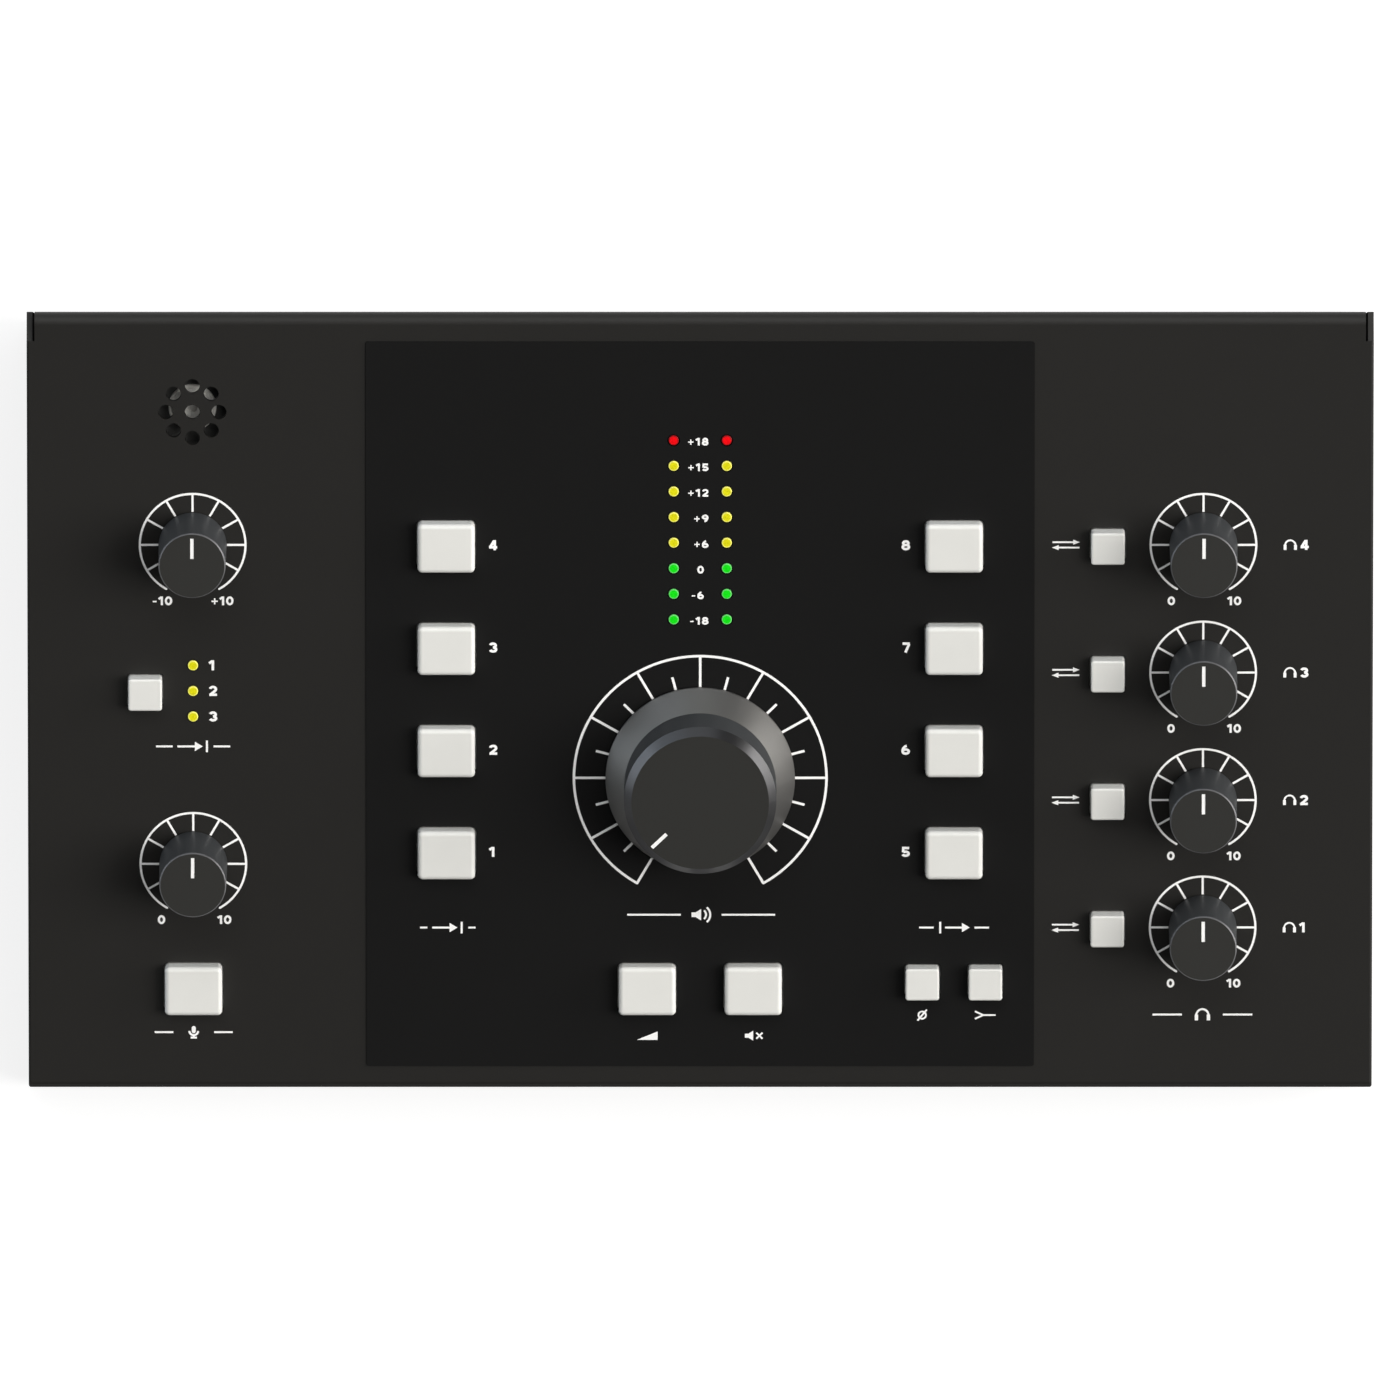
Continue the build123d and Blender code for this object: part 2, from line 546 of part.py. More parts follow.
# ------------------------------------------------------------------ rear panel
with BuildPart() as rear_panel:
    panel_half_width = INNER_HALF_WIDTH - SHEET_GAP
    panel_top = deck_height(PANEL_IN, SHEET) - SHEET_GAP
    with BuildSketch(REAR):
        with Locations((0, (BASE_TOP + panel_top) / 2)):
            Rectangle(2 * panel_half_width, panel_top - BASE_TOP)
    extrude(amount=SHEET)
    flange_rear = PANEL_OUT - SHEET / 2
    flange_front = PANEL_OUT - PANEL_FLANGE
    side_flange_top = deck_height(flange_front, SHEET) - SHEET_GAP
    with BuildSketch(Plane.XY.offset(BASE_TOP)):
        with Locations((0, (flange_rear + flange_front) / 2)):
            Rectangle(2 * panel_half_width, flange_rear - flange_front)
    extrude(amount=SHEET)
    with BuildSketch(Plane.XY.offset(BASE_TOP)):
        for side in (-1, 1):
            with Locations((side * (panel_half_width - SHEET / 2), (flange_rear + flange_front) / 2)):
                Rectangle(SHEET, flange_rear - flange_front)
    extrude(amount=side_flange_top - BASE_TOP)
    outer_bends = rear_panel.edges().filter_by(
        lambda e: abs(e.center().Y - PANEL_OUT) < 0.01 and e.length > SHEET * 2
    )
    fillet(outer_bends.filter_by(lambda e: e.center().Z < panel_top - 0.01), PANEL_BEND)
    with BuildSketch(Plane.XY.offset(BASE_TOP - PAST)):
        circles(PANEL_SCREWS, THREAD_RADIUS)
    extrude(amount=SHEET + 2 * PAST, mode=Mode.SUBTRACT)
    with BuildSketch(REAR.offset(-PAST)):
        circles(JACKS, JACK_NOSE_RADIUS + HOLE_GAP)
        circles([AUX_AT], AUX_NOSE_RADIUS + HOLE_GAP)
        circles([COAX_AT], COAX_CORE_RADIUS + HOLE_GAP)
        circles([INLET_AT], INLET_NOSE_RADIUS + HOLE_GAP)
        rectangles([OPTICAL_AT], grown((OPTICAL_BEZEL, OPTICAL_BEZEL), HOLE_GAP))
        rectangles([ROCKER_AT], grown(ROCKER_HOUSING, HOLE_GAP))
    extrude(amount=SHEET + 2 * PAST, mode=Mode.SUBTRACT)
save(rear_panel, "rear_panel")

# ------------------------------------------------------------------ boards, standoffs and screws
with BuildPart() as control_board:
    board_half_width = HALF_WIDTH - BOARD_SIDE_INSET
    tongue_rear = METER_TOP + TONGUE_OVERHANG
    with BuildSketch(DECK.offset(-BOARD_DEPTH)):
        with Locations((0, (BOARD_FRONT + BOARD_REAR) / 2)):
            Rectangle(2 * board_half_width, BOARD_REAR - BOARD_FRONT)
        with Locations((0, (BOARD_FRONT + tongue_rear) / 2)):
            Rectangle(TONGUE_WIDTH, tongue_rear - BOARD_FRONT)
        circles(STANDOFFS, SCREW_HOLE_RADIUS, Mode.SUBTRACT)
    extrude(amount=-BOARD)
save(control_board, "control_board")

with BuildPart() as board_standoffs:
    with BuildSketch(DECK.offset(-BOARD_DEPTH)):
        with Locations(*STANDOFFS):
            RegularPolygon(STANDOFF_FLATS / 2, 6, major_radius=False)
    extrude(amount=BOARD_DEPTH - SHEET)
    with BuildSketch(DECK.offset(-BOARD_DEPTH)):
        circles(STANDOFFS, THREAD_RADIUS)
    extrude(amount=STANDOFF_HOLE_DEPTH, mode=Mode.SUBTRACT)
save(board_standoffs, "board_standoffs")


def screws_on(seat, places):
    """Add screws to the open part: heads below the seat plane, shanks above it."""
    with BuildSketch(seat) as heads:
        circles(places, SCREW_HEAD_RADIUS)
    extrude(heads.sketch, amount=-SCREW_HEAD_HEIGHT)
    with BuildSketch(seat) as shanks:
        circles(places, SCREW_RADIUS)
    extrude(shanks.sketch, amount=SCREW_LENGTH)
    with BuildSketch(seat.offset(-SCREW_HEAD_HEIGHT)) as sockets:
        with Locations(*places):
            RegularPolygon(SCREW_SOCKET_FLATS / 2, 6, major_radius=False)
    extrude(sockets.sketch, amount=SCREW_SOCKET_DEPTH, mode=Mode.SUBTRACT)


with BuildPart() as m3_screws:
    screws_on(Plane.XY.offset(FOOT_HEIGHT), FRONT_SCREWS + SIDE_SCREWS + PANEL_SCREWS)
    screws_on(DECK.offset(-BOARD_DEPTH - BOARD), STANDOFFS)
    case_rims = m3_screws.edges().filter_by(
        lambda e: abs(e.center().Z - FOOT_HEIGHT + SCREW_HEAD_HEIGHT) < 0.001
    )
    board_rims = edges_at(m3_screws, -BOARD_DEPTH - BOARD - SCREW_HEAD_HEIGHT)
    fillet((case_rims + board_rims).filter_by(GeomType.CIRCLE), SCREW_HEAD_ROUNDING)
save(m3_screws, "m3_screws")

with BuildPart() as connector_board:
    board_middle = (CONNECTOR_BOARD_LOW + CONNECTOR_BOARD_HIGH) / 2
    with BuildSketch(REAR.offset(SHEET + SOCKET_LENGTH)):
        with Locations((0, board_middle)):
            Rectangle(
                CASE_WIDTH - 2 * CONNECTOR_BOARD_INSET, CONNECTOR_BOARD_HIGH - CONNECTOR_BOARD_LOW
            )
        with Locations(*JACKS):
            with PolarLocations(JACK_BORE_RADIUS, 3):
                Circle(PIN_HOLE_RADIUS, mode=Mode.SUBTRACT)
    extrude(amount=BOARD)
save(connector_board, "connector_board")

# ------------------------------------------------------------------ lamps
LAMP_GROUPS = {"red_lenses": RED_LAMPS, "yellow_lenses": YELLOW_LAMPS, "green_lenses": GREEN_LAMPS}
LENS_SHOULDER = -SHEET - LENS_SHOULDER_GAP
for lamp_name, lamp_places in LAMP_GROUPS.items():
    with BuildPart() as lenses:
        with BuildSketch(DECK.offset(-BOARD_DEPTH)):
            circles(lamp_places, LENS_RADIUS + LENS_SHOULDER_WIDTH)
        extrude(amount=BOARD_DEPTH + LENS_SHOULDER)
        with BuildSketch(DECK.offset(LENS_SHOULDER)):
            circles(lamp_places, LENS_RADIUS)
        extrude(amount=LENS_RISE - LENS_SHOULDER)
        chamfer(edges_at(lenses, LENS_RISE), LENS_EDGE)
    save(lenses, lamp_name)

# ------------------------------------------------------------------ microphone
with BuildPart() as mic_capsule:
    capsule_bottom = -MIC_CAPSULE_TOP - MIC_CAPSULE_HEIGHT
    with BuildSketch(DECK.offset(capsule_bottom)):
        circles([MIC_AT], MIC_CAPSULE_RADIUS)
    extrude(amount=MIC_CAPSULE_HEIGHT)
    with BuildSketch(DECK.offset(-MIC_CAPSULE_TOP - MIC_RIM_DEPTH)):
        circles([MIC_AT], MIC_CAPSULE_RADIUS - MIC_RIM_WIDTH)
        circles([MIC_AT], MIC_CAPSULE_RADIUS - MIC_RIM_WIDTH - MIC_GROOVE_WIDTH, Mode.SUBTRACT)
        circles([MIC_AT], MIC_INLET_RADIUS)
    extrude(amount=MIC_RIM_DEPTH + PAST, mode=Mode.SUBTRACT)
    chamfer(edges_at(mic_capsule, -MIC_CAPSULE_TOP).sort_by(SortBy.LENGTH)[-1], MIC_RIM_DEPTH / 2)
save(mic_capsule, "mic_capsule")

with BuildPart() as mic_boot:
    sleeve_radius = MIC_CAPSULE_RADIUS + MIC_BOOT_GRIP
    mouth_radius = MIC_RING_RADIUS + MIC_HOLE_RADIUS + MIC_MOUTH_MARGIN
    with BuildSketch(DECK.offset(capsule_bottom - MIC_BOOT_FLOOR)):
        circles([MIC_AT], sleeve_radius + MIC_BOOT_WALL)
    extrude(amount=-capsule_bottom + MIC_BOOT_FLOOR - SHEET)
    with BuildSketch(DECK.offset(-MIC_CAPSULE_TOP - MIC_BOOT_FLOOR)):
        circles([MIC_AT], mouth_radius + MIC_BOOT_WALL)
    extrude(amount=MIC_CAPSULE_TOP + MIC_BOOT_FLOOR - SHEET)
    with BuildSketch(DECK.offset(capsule_bottom)):
        circles([MIC_AT], sleeve_radius)
    extrude(amount=-capsule_bottom, mode=Mode.SUBTRACT)
    with BuildSketch(DECK.offset(-MIC_CAPSULE_TOP)):
        circles([MIC_AT], mouth_radius)
    extrude(amount=MIC_CAPSULE_TOP, mode=Mode.SUBTRACT)
save(mic_boot, "mic_boot")


# ------------------------------------------------------------------ push buttons
def make_switches(name, places, wall, stem):
    """Fixed switch housings on the control board, each with a square well for its cap's stem."""
    with BuildPart() as switches:
        with BuildSketch(DECK.offset(-BOARD_DEPTH)):
            rectangles(places, grown((stem, stem), STEM_GAP + wall))
        extrude(amount=BOARD_DEPTH - SWITCH_TOP)
        with BuildSketch(DECK.offset(-BOARD_DEPTH + SWITCH_FLOOR)):
            rectangles(places, grown((stem, stem), STEM_GAP))
        extrude(amount=BOARD_DEPTH, mode=Mode.SUBTRACT)
    save(switches, name)


def make_cap(name, place, size, rise, corner, rounding, wall, stem):
    """One hollow button cap with its retaining flange under the deck and its stem."""
    flange_top = -SHEET - CAP_STOP_GAP
    flange_bottom = flange_top - CAP_FLANGE_HEIGHT
    with BuildPart() as cap:
        with BuildSketch(on_deck(place, flange_top)):
            RectangleRounded(size[0], size[1], corner)
        extrude(amount=rise - flange_top)
        fillet(edges_at(cap, rise), rounding)
        with BuildSketch(on_deck(place, flange_bottom)):
            RectangleRounded(*grown(size, CAP_FLANGE), corner)
        extrude(amount=CAP_FLANGE_HEIGHT)
        with BuildSketch(on_deck(place, flange_bottom)):
            RectangleRounded(*grown(size, -wall), corner / 2)
            Rectangle(stem, stem, mode=Mode.SUBTRACT)
        extrude(amount=rise - CAP_CEILING - flange_bottom, mode=Mode.SUBTRACT)
        with BuildSketch(on_deck(place, -STEM_DEPTH)):
            Rectangle(stem, stem)
        extrude(amount=STEM_DEPTH + flange_bottom)
    save(cap, name)


make_switches("large_switches", LARGE_BUTTONS.values(), LARGE_SWITCH_WALL, LARGE_STEM)
make_switches("small_switches", SMALL_BUTTONS.values(), SMALL_SWITCH_WALL, SMALL_STEM)
for button, button_place in LARGE_BUTTONS.items():
    make_cap(
        button,
        button_place,
        LARGE_CAP,
        LARGE_CAP_RISE,
        LARGE_CAP_CORNER,
        LARGE_CAP_ROUNDING,
        LARGE_CAP_WALL,
        LARGE_STEM,
    )
for button, button_place in SMALL_BUTTONS.items():
    make_cap(
        button,
        button_place,
        SMALL_CAP,
        SMALL_CAP_RISE,
        SMALL_CAP_CORNER,
        SMALL_CAP_ROUNDING,
        SMALL_CAP_WALL,
        SMALL_STEM,
    )


# ------------------------------------------------------------------ knobs and rotary controls
def shaft_section(gap=0.0):
    """Fill the open sketch with the shaft's D section, grown by a gap."""
    flat = SHAFT_RADIUS - SHAFT_FLAT + gap
    Circle(SHAFT_RADIUS + gap)
    with Locations((0, -flat - SHAFT_RADIUS)):
        Rectangle(4 * SHAFT_RADIUS, 2 * SHAFT_RADIUS, mode=Mode.SUBTRACT)


def make_controls(name, places, body, top, bush_radius, bush_rise):
    """Rotary control bodies on the control board, bush up through the deck, bored for the shaft."""
    with BuildPart() as controls:
        with BuildSketch(DECK.offset(-BOARD_DEPTH)):
            rectangles(places, body)
        extrude(amount=BOARD_DEPTH - top)
        with BuildSketch(DECK.offset(-top)):
            circles(places, bush_radius)
        extrude(amount=top + bush_rise)
        with BuildSketch(DECK.offset(-SHAFT_FOOT - POT_FLOOR_GAP)):
            circles(places, SHAFT_BORE_RADIUS)
        extrude(amount=SHAFT_FOOT + POT_FLOOR_GAP + bush_rise, mode=Mode.SUBTRACT)
    save(controls, name)


def make_shaft(name, place, rise, turn=0.0):
    """One steel shaft, round in its bush and flatted inside its knob."""
    with BuildPart() as shaft:
        with BuildSketch(on_deck(place, -SHAFT_FOOT)):
            Circle(SHAFT_RADIUS)
        extrude(amount=SHAFT_FOOT + SHAFT_FLAT_START)
        with BuildSketch(on_deck(place, SHAFT_FLAT_START, turn)):
            shaft_section()
        extrude(amount=rise - SHAFT_FLAT_START)
    save(shaft, name)


def turned(place, profile):
    """Add to the open part the solid turned from half a profile of (radius, height) points."""
    seat = on_deck(place)
    with BuildSketch(seat.rotated((90, 0, 0))) as half:
        Polygon(*profile, align=None)
    revolve(half.sketch, axis=Axis(seat.origin, seat.z_dir))


def bore_knob(place, low, bush_radius, bush_rise, shaft_rise, turn=0.0):
    """Cut the open knob's room for the bush and its D bore for the shaft."""
    with BuildSketch(on_deck(place, low)) as bush_room:
        Circle(bush_radius + BUSH_ROOM)
    extrude(bush_room.sketch, amount=bush_rise + BUSH_ROOM - low, mode=Mode.SUBTRACT)
    with BuildSketch(on_deck(place, low)) as round_bore:
        Circle(SHAFT_BORE_RADIUS)
    extrude(round_bore.sketch, amount=SHAFT_FLAT_START - low, mode=Mode.SUBTRACT)
    with BuildSketch(on_deck(place, SHAFT_FLAT_START, turn)) as flatted_bore:
        shaft_section(SHAFT_RUNNING_GAP)
    bore_end = shaft_rise + SHAFT_RUNNING_GAP
    extrude(flatted_bore.sketch, amount=bore_end - SHAFT_FLAT_START, mode=Mode.SUBTRACT)


def cut_pointer(place, rise, reach, width, turn=0.0):
    """Cut the pointer's groove in the open knob's top face."""
    with BuildSketch(on_deck(place, rise - POINTER_DEPTH, turn)) as groove:
        with Locations((0, (reach[0] + reach[1]) / 2)):
            Rectangle(width, reach[1] - reach[0])
    extrude(groove.sketch, amount=POINTER_DEPTH + PAST, mode=Mode.SUBTRACT)


make_controls("level_pots", SMALL_KNOBS.values(), POT_BODY, POT_TOP, POT_BUSH_RADIUS, POT_BUSH_RISE)
make_controls(
    "main_encoder",
    [MAIN_KNOB_AT],
    ENCODER_BODY,
    ENCODER_TOP,
    ENCODER_BUSH_RADIUS,
    ENCODER_BUSH_RISE,
)

for knob_name, knob_place in SMALL_KNOBS.items():
    with BuildPart() as knob:
        turned(
            knob_place,
            [
                (0, SMALL_KNOB_FLOAT),
                (SMALL_KNOB_RADIUS, SMALL_KNOB_FLOAT),
                (SMALL_KNOB_TOP_RADIUS, SMALL_KNOB_RISE - SMALL_KNOB_CHAMFER),
                (SMALL_KNOB_TOP_RADIUS - SMALL_KNOB_CHAMFER, SMALL_KNOB_RISE),
                (0, SMALL_KNOB_RISE),
            ],
        )
        bore_knob(knob_place, SMALL_KNOB_FLOAT, POT_BUSH_RADIUS, POT_BUSH_RISE, SMALL_SHAFT_RISE)
        cut_pointer(knob_place, SMALL_KNOB_RISE, SMALL_POINTER, SMALL_POINTER_WIDTH)
    save(knob, f"{knob_name}_knob")
    make_shaft(f"{knob_name}_shaft", knob_place, SMALL_SHAFT_RISE)

with BuildPart() as main_knob:
    turned(
        MAIN_KNOB_AT,
        [
            (0, MAIN_KNOB_FLOAT),
            (MAIN_KNOB_RADIUS, MAIN_KNOB_FLOAT),
            (MAIN_KNOB_RADIUS, MAIN_KNOB_FLOAT + MAIN_KNOB_RIM),
            (MAIN_KNOB_BODY_RADIUS, MAIN_SKIRT_RISE),
            (MAIN_KNOB_BODY_RADIUS, MAIN_SHOULDER_RISE),
            (MAIN_KNOB_TOP_RADIUS, MAIN_KNOB_RISE),
            (0, MAIN_KNOB_RISE),
        ],
    )
    bore_knob(
        MAIN_KNOB_AT,
        MAIN_KNOB_FLOAT,
        ENCODER_BUSH_RADIUS,
        ENCODER_BUSH_RISE,
        MAIN_SHAFT_RISE,
        MAIN_POINTER_TURN,
    )
    cut_pointer(MAIN_KNOB_AT, MAIN_KNOB_RISE, MAIN_POINTER, MAIN_POINTER_WIDTH, MAIN_POINTER_TURN)
save(main_knob, "main_knob")
make_shaft("main_shaft", MAIN_KNOB_AT, MAIN_SHAFT_RISE, MAIN_POINTER_TURN)


# ------------------------------------------------------------------ rear sockets
def socket_body(places, body):
    """Add socket bodies, from the rear panel's inside to the connector board, to the open part."""
    with BuildSketch(REAR.offset(SHEET)) as bodies:
        rectangles(places, body)
    extrude(bodies.sketch, amount=SOCKET_LENGTH)


def socket_nose(places, radius, nose):
    """Add round noses that pass out through the rear panel to the open part."""
    with BuildSketch(REAR.offset(-nose)) as noses:
        circles(places, radius)
    extrude(noses.sketch, amount=nose + SHEET)


def socket_bore(places, radius, nose, depth):
    """Bore the open part's sockets from the tips of their noses."""
    with BuildSketch(REAR.offset(-nose)) as bores:
        circles(places, radius)
    extrude(bores.sketch, amount=depth, mode=Mode.SUBTRACT)


with BuildPart() as line_jacks:
    jack_depth = JACK_NOSE + SHEET + SOCKET_LENGTH - JACK_END_WALL
    socket_body(JACKS, JACK_BODY)
    socket_nose(JACKS, JACK_NOSE_RADIUS, JACK_NOSE)
    socket_bore(JACKS, JACK_BORE_RADIUS, JACK_NOSE, jack_depth)
    nose_tips = line_jacks.edges().filter_by(lambda e: abs(e.center().Y - PANEL_OUT - JACK_NOSE) < 0.01)
    chamfer(nose_tips, JACK_CHAMFER)
save(line_jacks, "line_jacks")

with BuildPart() as jack_nuts:
    with BuildSketch(REAR):
        with Locations(*JACKS):
            RegularPolygon(NUT_BORE_RADIUS + NUT_WALL, 6, major_radius=False)
        circles(JACKS, NUT_BORE_RADIUS, Mode.SUBTRACT)
    extrude(amount=-NUT_HEIGHT)
    nut_faces = jack_nuts.edges().filter_by(GeomType.LINE)
    chamfer(
        nut_faces.filter_by(lambda e: abs(e.center().Y - PANEL_OUT - NUT_HEIGHT) < 0.01), JACK_CHAMFER
    )
save(jack_nuts, "jack_nuts")

with BuildPart() as aux_jack:
    socket_body([AUX_AT], AUX_BODY)
    socket_nose([AUX_AT], AUX_NOSE_RADIUS, AUX_NOSE)
    socket_bore([AUX_AT], AUX_BORE_RADIUS, AUX_NOSE, AUX_BORE_DEPTH)
save(aux_jack, "aux_jack")

with BuildPart() as coax_socket:
    core_nose = COAX_SHELL_NOSE - COAX_CORE_RECESS
    socket_body([COAX_AT], COAX_BODY)
    socket_nose([COAX_AT], COAX_CORE_RADIUS, core_nose)
    socket_bore([COAX_AT], COAX_HOLE_RADIUS, core_nose, COAX_HOLE_DEPTH)
save(coax_socket, "coax_socket")

with BuildPart() as coax_shell:
    with BuildSketch(REAR):
        circles([COAX_AT], COAX_SHELL_RADIUS)
    extrude(amount=-COAX_SHELL_NOSE)
    with BuildSketch(REAR):
        circles([COAX_AT], COAX_SHELL_RADIUS + COAX_FLANGE_WIDTH)
    extrude(amount=-COAX_FLANGE_HEIGHT)
    with BuildSketch(REAR):
        circles([COAX_AT], COAX_SHELL_BORE_RADIUS)
    extrude(amount=-COAX_SHELL_NOSE, mode=Mode.SUBTRACT)
save(coax_shell, "coax_shell")

with BuildPart() as optical_socket:
    socket_body([OPTICAL_AT], (OPTICAL_BODY, OPTICAL_BODY))
    with BuildSketch(REAR.offset(-OPTICAL_NOSE)):
        rectangles([OPTICAL_AT], (OPTICAL_BEZEL, OPTICAL_BEZEL))
    extrude(amount=OPTICAL_NOSE + SHEET)
    half_mouth = OPTICAL_MOUTH / 2
    with BuildSketch(REAR.offset(-OPTICAL_NOSE)):
        with Locations(OPTICAL_AT):
            Polygon(
                (-half_mouth, -half_mouth),
                (half_mouth, -half_mouth),
                (half_mouth, half_mouth - OPTICAL_KEY),
                (half_mouth - OPTICAL_KEY, half_mouth),
                (-half_mouth + OPTICAL_KEY, half_mouth),
                (-half_mouth, half_mouth - OPTICAL_KEY),
                align=None,
            )
    extrude(amount=OPTICAL_DEPTH, mode=Mode.SUBTRACT)
    with BuildSketch(REAR.offset(OPTICAL_DEPTH - OPTICAL_NOSE)):
        circles([OPTICAL_AT], OPTICAL_POST_RADIUS)
    extrude(amount=-OPTICAL_POST_LENGTH)
save(optical_socket, "optical_socket")

with BuildPart() as dc_inlet:
    socket_body([INLET_AT], INLET_BODY)
    socket_nose([INLET_AT], INLET_NOSE_RADIUS, INLET_NOSE)
    socket_bore([INLET_AT], INLET_BORE_RADIUS, INLET_NOSE, INLET_BORE_DEPTH)
save(dc_inlet, "dc_inlet")

with BuildPart() as dc_pin:
    with BuildSketch(REAR.offset(INLET_BORE_DEPTH - INLET_NOSE)):
        circles([INLET_AT], INLET_PIN_RADIUS)
    extrude(amount=INLET_PIN_RECESS - INLET_BORE_DEPTH)
save(dc_pin, "dc_pin")

# ------------------------------------------------------------------ power rocker
PIVOT = Plane(
    origin=(ROCKER_AT[0], PANEL_OUT - ROCKER_PIVOT_DEPTH, ROCKER_AT[1]),
    x_dir=(0, 1, 0),
    z_dir=(1, 0, 0),
)
TILTED_PIVOT = Plane(PIVOT * Location((0, 0, 0), (0, 0, ROCKER_TILT)))
with BuildPart() as rocker_housing:
    with BuildSketch(REAR.offset(-ROCKER_BEZEL_HEIGHT)):
        rectangles([ROCKER_AT], grown(ROCKER_HOUSING, ROCKER_BEZEL_MARGIN), ROCKER_BEZEL_MARGIN)
    extrude(amount=ROCKER_BEZEL_HEIGHT)
    with BuildSketch(REAR):
        rectangles([ROCKER_AT], ROCKER_HOUSING)
    extrude(amount=ROCKER_HOUSING_LENGTH)
    well_radius = ROCKER_RADIUS + ROCKER_GAP
    with BuildSketch(PIVOT):
        Circle(well_radius)
        with Locations((-ROCKER_WELL - well_radius, 0)):
            Rectangle(2 * well_radius, 2 * well_radius, mode=Mode.SUBTRACT)
    extrude(amount=ROCKER_WIDTH / 2 + ROCKER_GAP, both=True, mode=Mode.SUBTRACT)
    with BuildSketch(PIVOT):
        Circle(ROCKER_PIN_RADIUS + ROCKER_PIN_GAP)
    extrude(amount=ROCKER_WIDTH / 2 + ROCKER_PIN_LENGTH + ROCKER_PIN_GAP, both=True, mode=Mode.SUBTRACT)
save(rocker_housing, "rocker_housing")

with BuildPart() as power_rocker:
    with BuildSketch(TILTED_PIVOT):
        Circle(ROCKER_RADIUS)
        far = 2 * ROCKER_RADIUS
        lean = far * tan(radians(ROCKER_TILT))
        Polygon(
            (ROCKER_WAIST, 0),
            (ROCKER_WAIST + lean, far),
            (far, far),
            (far, -far),
            (ROCKER_WAIST + lean, -far),
            align=None,
            mode=Mode.SUBTRACT,
        )
        with Locations((-ROCKER_BACK - far / 2, 0)):
            Rectangle(far, far, mode=Mode.SUBTRACT)
    extrude(amount=ROCKER_WIDTH / 2, both=True)
    with BuildSketch(PIVOT):
        Circle(ROCKER_PIN_RADIUS)
    extrude(amount=ROCKER_WIDTH / 2 + ROCKER_PIN_LENGTH, both=True)
save(power_rocker, "power_rocker")
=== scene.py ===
"""Studio monitor controller: finishes, printed scales, lamps and a plain studio around the fixed frame.

The file is laid out as a Blender add-on and run as a script. main() registers the classes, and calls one
operator for each piece or group of like pieces.
"""

import json
import math

import bmesh
import bpy
from bpy.props import FloatProperty, FloatVectorProperty, PointerProperty
from mathutils import Matrix, Vector


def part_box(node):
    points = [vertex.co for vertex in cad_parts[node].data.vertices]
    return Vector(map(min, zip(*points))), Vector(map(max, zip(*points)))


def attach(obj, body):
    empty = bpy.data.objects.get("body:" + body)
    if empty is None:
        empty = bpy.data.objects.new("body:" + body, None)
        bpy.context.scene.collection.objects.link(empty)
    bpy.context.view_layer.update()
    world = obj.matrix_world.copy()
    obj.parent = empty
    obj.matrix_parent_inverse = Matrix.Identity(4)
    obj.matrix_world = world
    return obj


bl_info = {
    "name": "Monitor controller finish",
    "version": (1, 0, 0),
    "blender": (4, 5, 0),
    "location": "3D View > Sidebar > Controller",
    "description": "Finishes, printing, lamps and studio for a desk-top monitor controller",
    "category": "Object",
}

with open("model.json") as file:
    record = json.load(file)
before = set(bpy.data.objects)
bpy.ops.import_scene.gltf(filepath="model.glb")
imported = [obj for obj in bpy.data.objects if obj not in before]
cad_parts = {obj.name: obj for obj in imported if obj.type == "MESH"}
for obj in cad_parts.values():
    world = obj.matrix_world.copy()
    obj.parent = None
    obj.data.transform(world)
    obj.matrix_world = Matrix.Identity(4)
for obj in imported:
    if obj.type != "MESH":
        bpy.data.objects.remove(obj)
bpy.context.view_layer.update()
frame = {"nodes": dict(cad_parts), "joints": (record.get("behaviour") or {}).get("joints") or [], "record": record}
JOINTS = {joint["name"]: joint for joint in frame["joints"]}
MM = 0.001

# ------------------------------------------------------------------ the deck's own axes
# Printing is laid out in millimetres from the main knob's axis: x to the right, v up the slope.
DECK_UP = Vector(JOINTS["main_turn"]["axis"]).normalized()
DECK_ALONG = DECK_UP.cross(Vector((1, 0, 0)))
DECK = Matrix.Translation(JOINTS["main_turn"]["pos_m"]) @ Matrix(
    ((1, 0, 0), DECK_ALONG, DECK_UP)
).transposed().to_4x4()
DECK_MM = DECK @ Matrix.Diagonal((MM, MM, MM, 1))
TO_DECK_MM = DECK_MM.inverted()


def deck_box(node):
    """Lowest and highest corner of a CAD node in deck millimetres."""
    corners = [TO_DECK_MM @ vertex.co for vertex in frame["nodes"][node].data.vertices]
    low = Vector(min(corner[i] for corner in corners) for i in range(3))
    high = Vector(max(corner[i] for corner in corners) for i in range(3))
    return low, high


def deck_centre(node):
    """Middle of a CAD node, as x and v."""
    low, high = deck_box(node)
    return (low.x + high.x) / 2, (low.y + high.y) / 2


LARGE_BUTTONS = [
    "cue_button",
    "alt_source_button",
    "source_2_button",
    "source_1_button",
    "sub_button",
    "alt_2_button",
    "alt_1_button",
    "main_button",
    "dim_button",
    "cut_button",
    "talkback_button",
]
SMALL_BUTTONS = [
    "input_button",
    "phones_4_button",
    "phones_3_button",
    "phones_2_button",
    "phones_1_button",
    "polarity_button",
    "mono_button",
]
SMALL_KNOBS = ["mic_gain", "talkback_level", "phones_4", "phones_3", "phones_2", "phones_1"]
BUTTONS = {name: deck_centre(name) for name in LARGE_BUTTONS + SMALL_BUTTONS}
KNOBS = {name: tuple((TO_DECK_MM @ Vector(JOINTS[f"{name}_turn"]["pos_m"]))[:2]) for name in SMALL_KNOBS}
FASCIA_TOP = deck_box("centre_fascia")[1].z
FASCIA_EDGE = deck_box("centre_fascia")[1].x
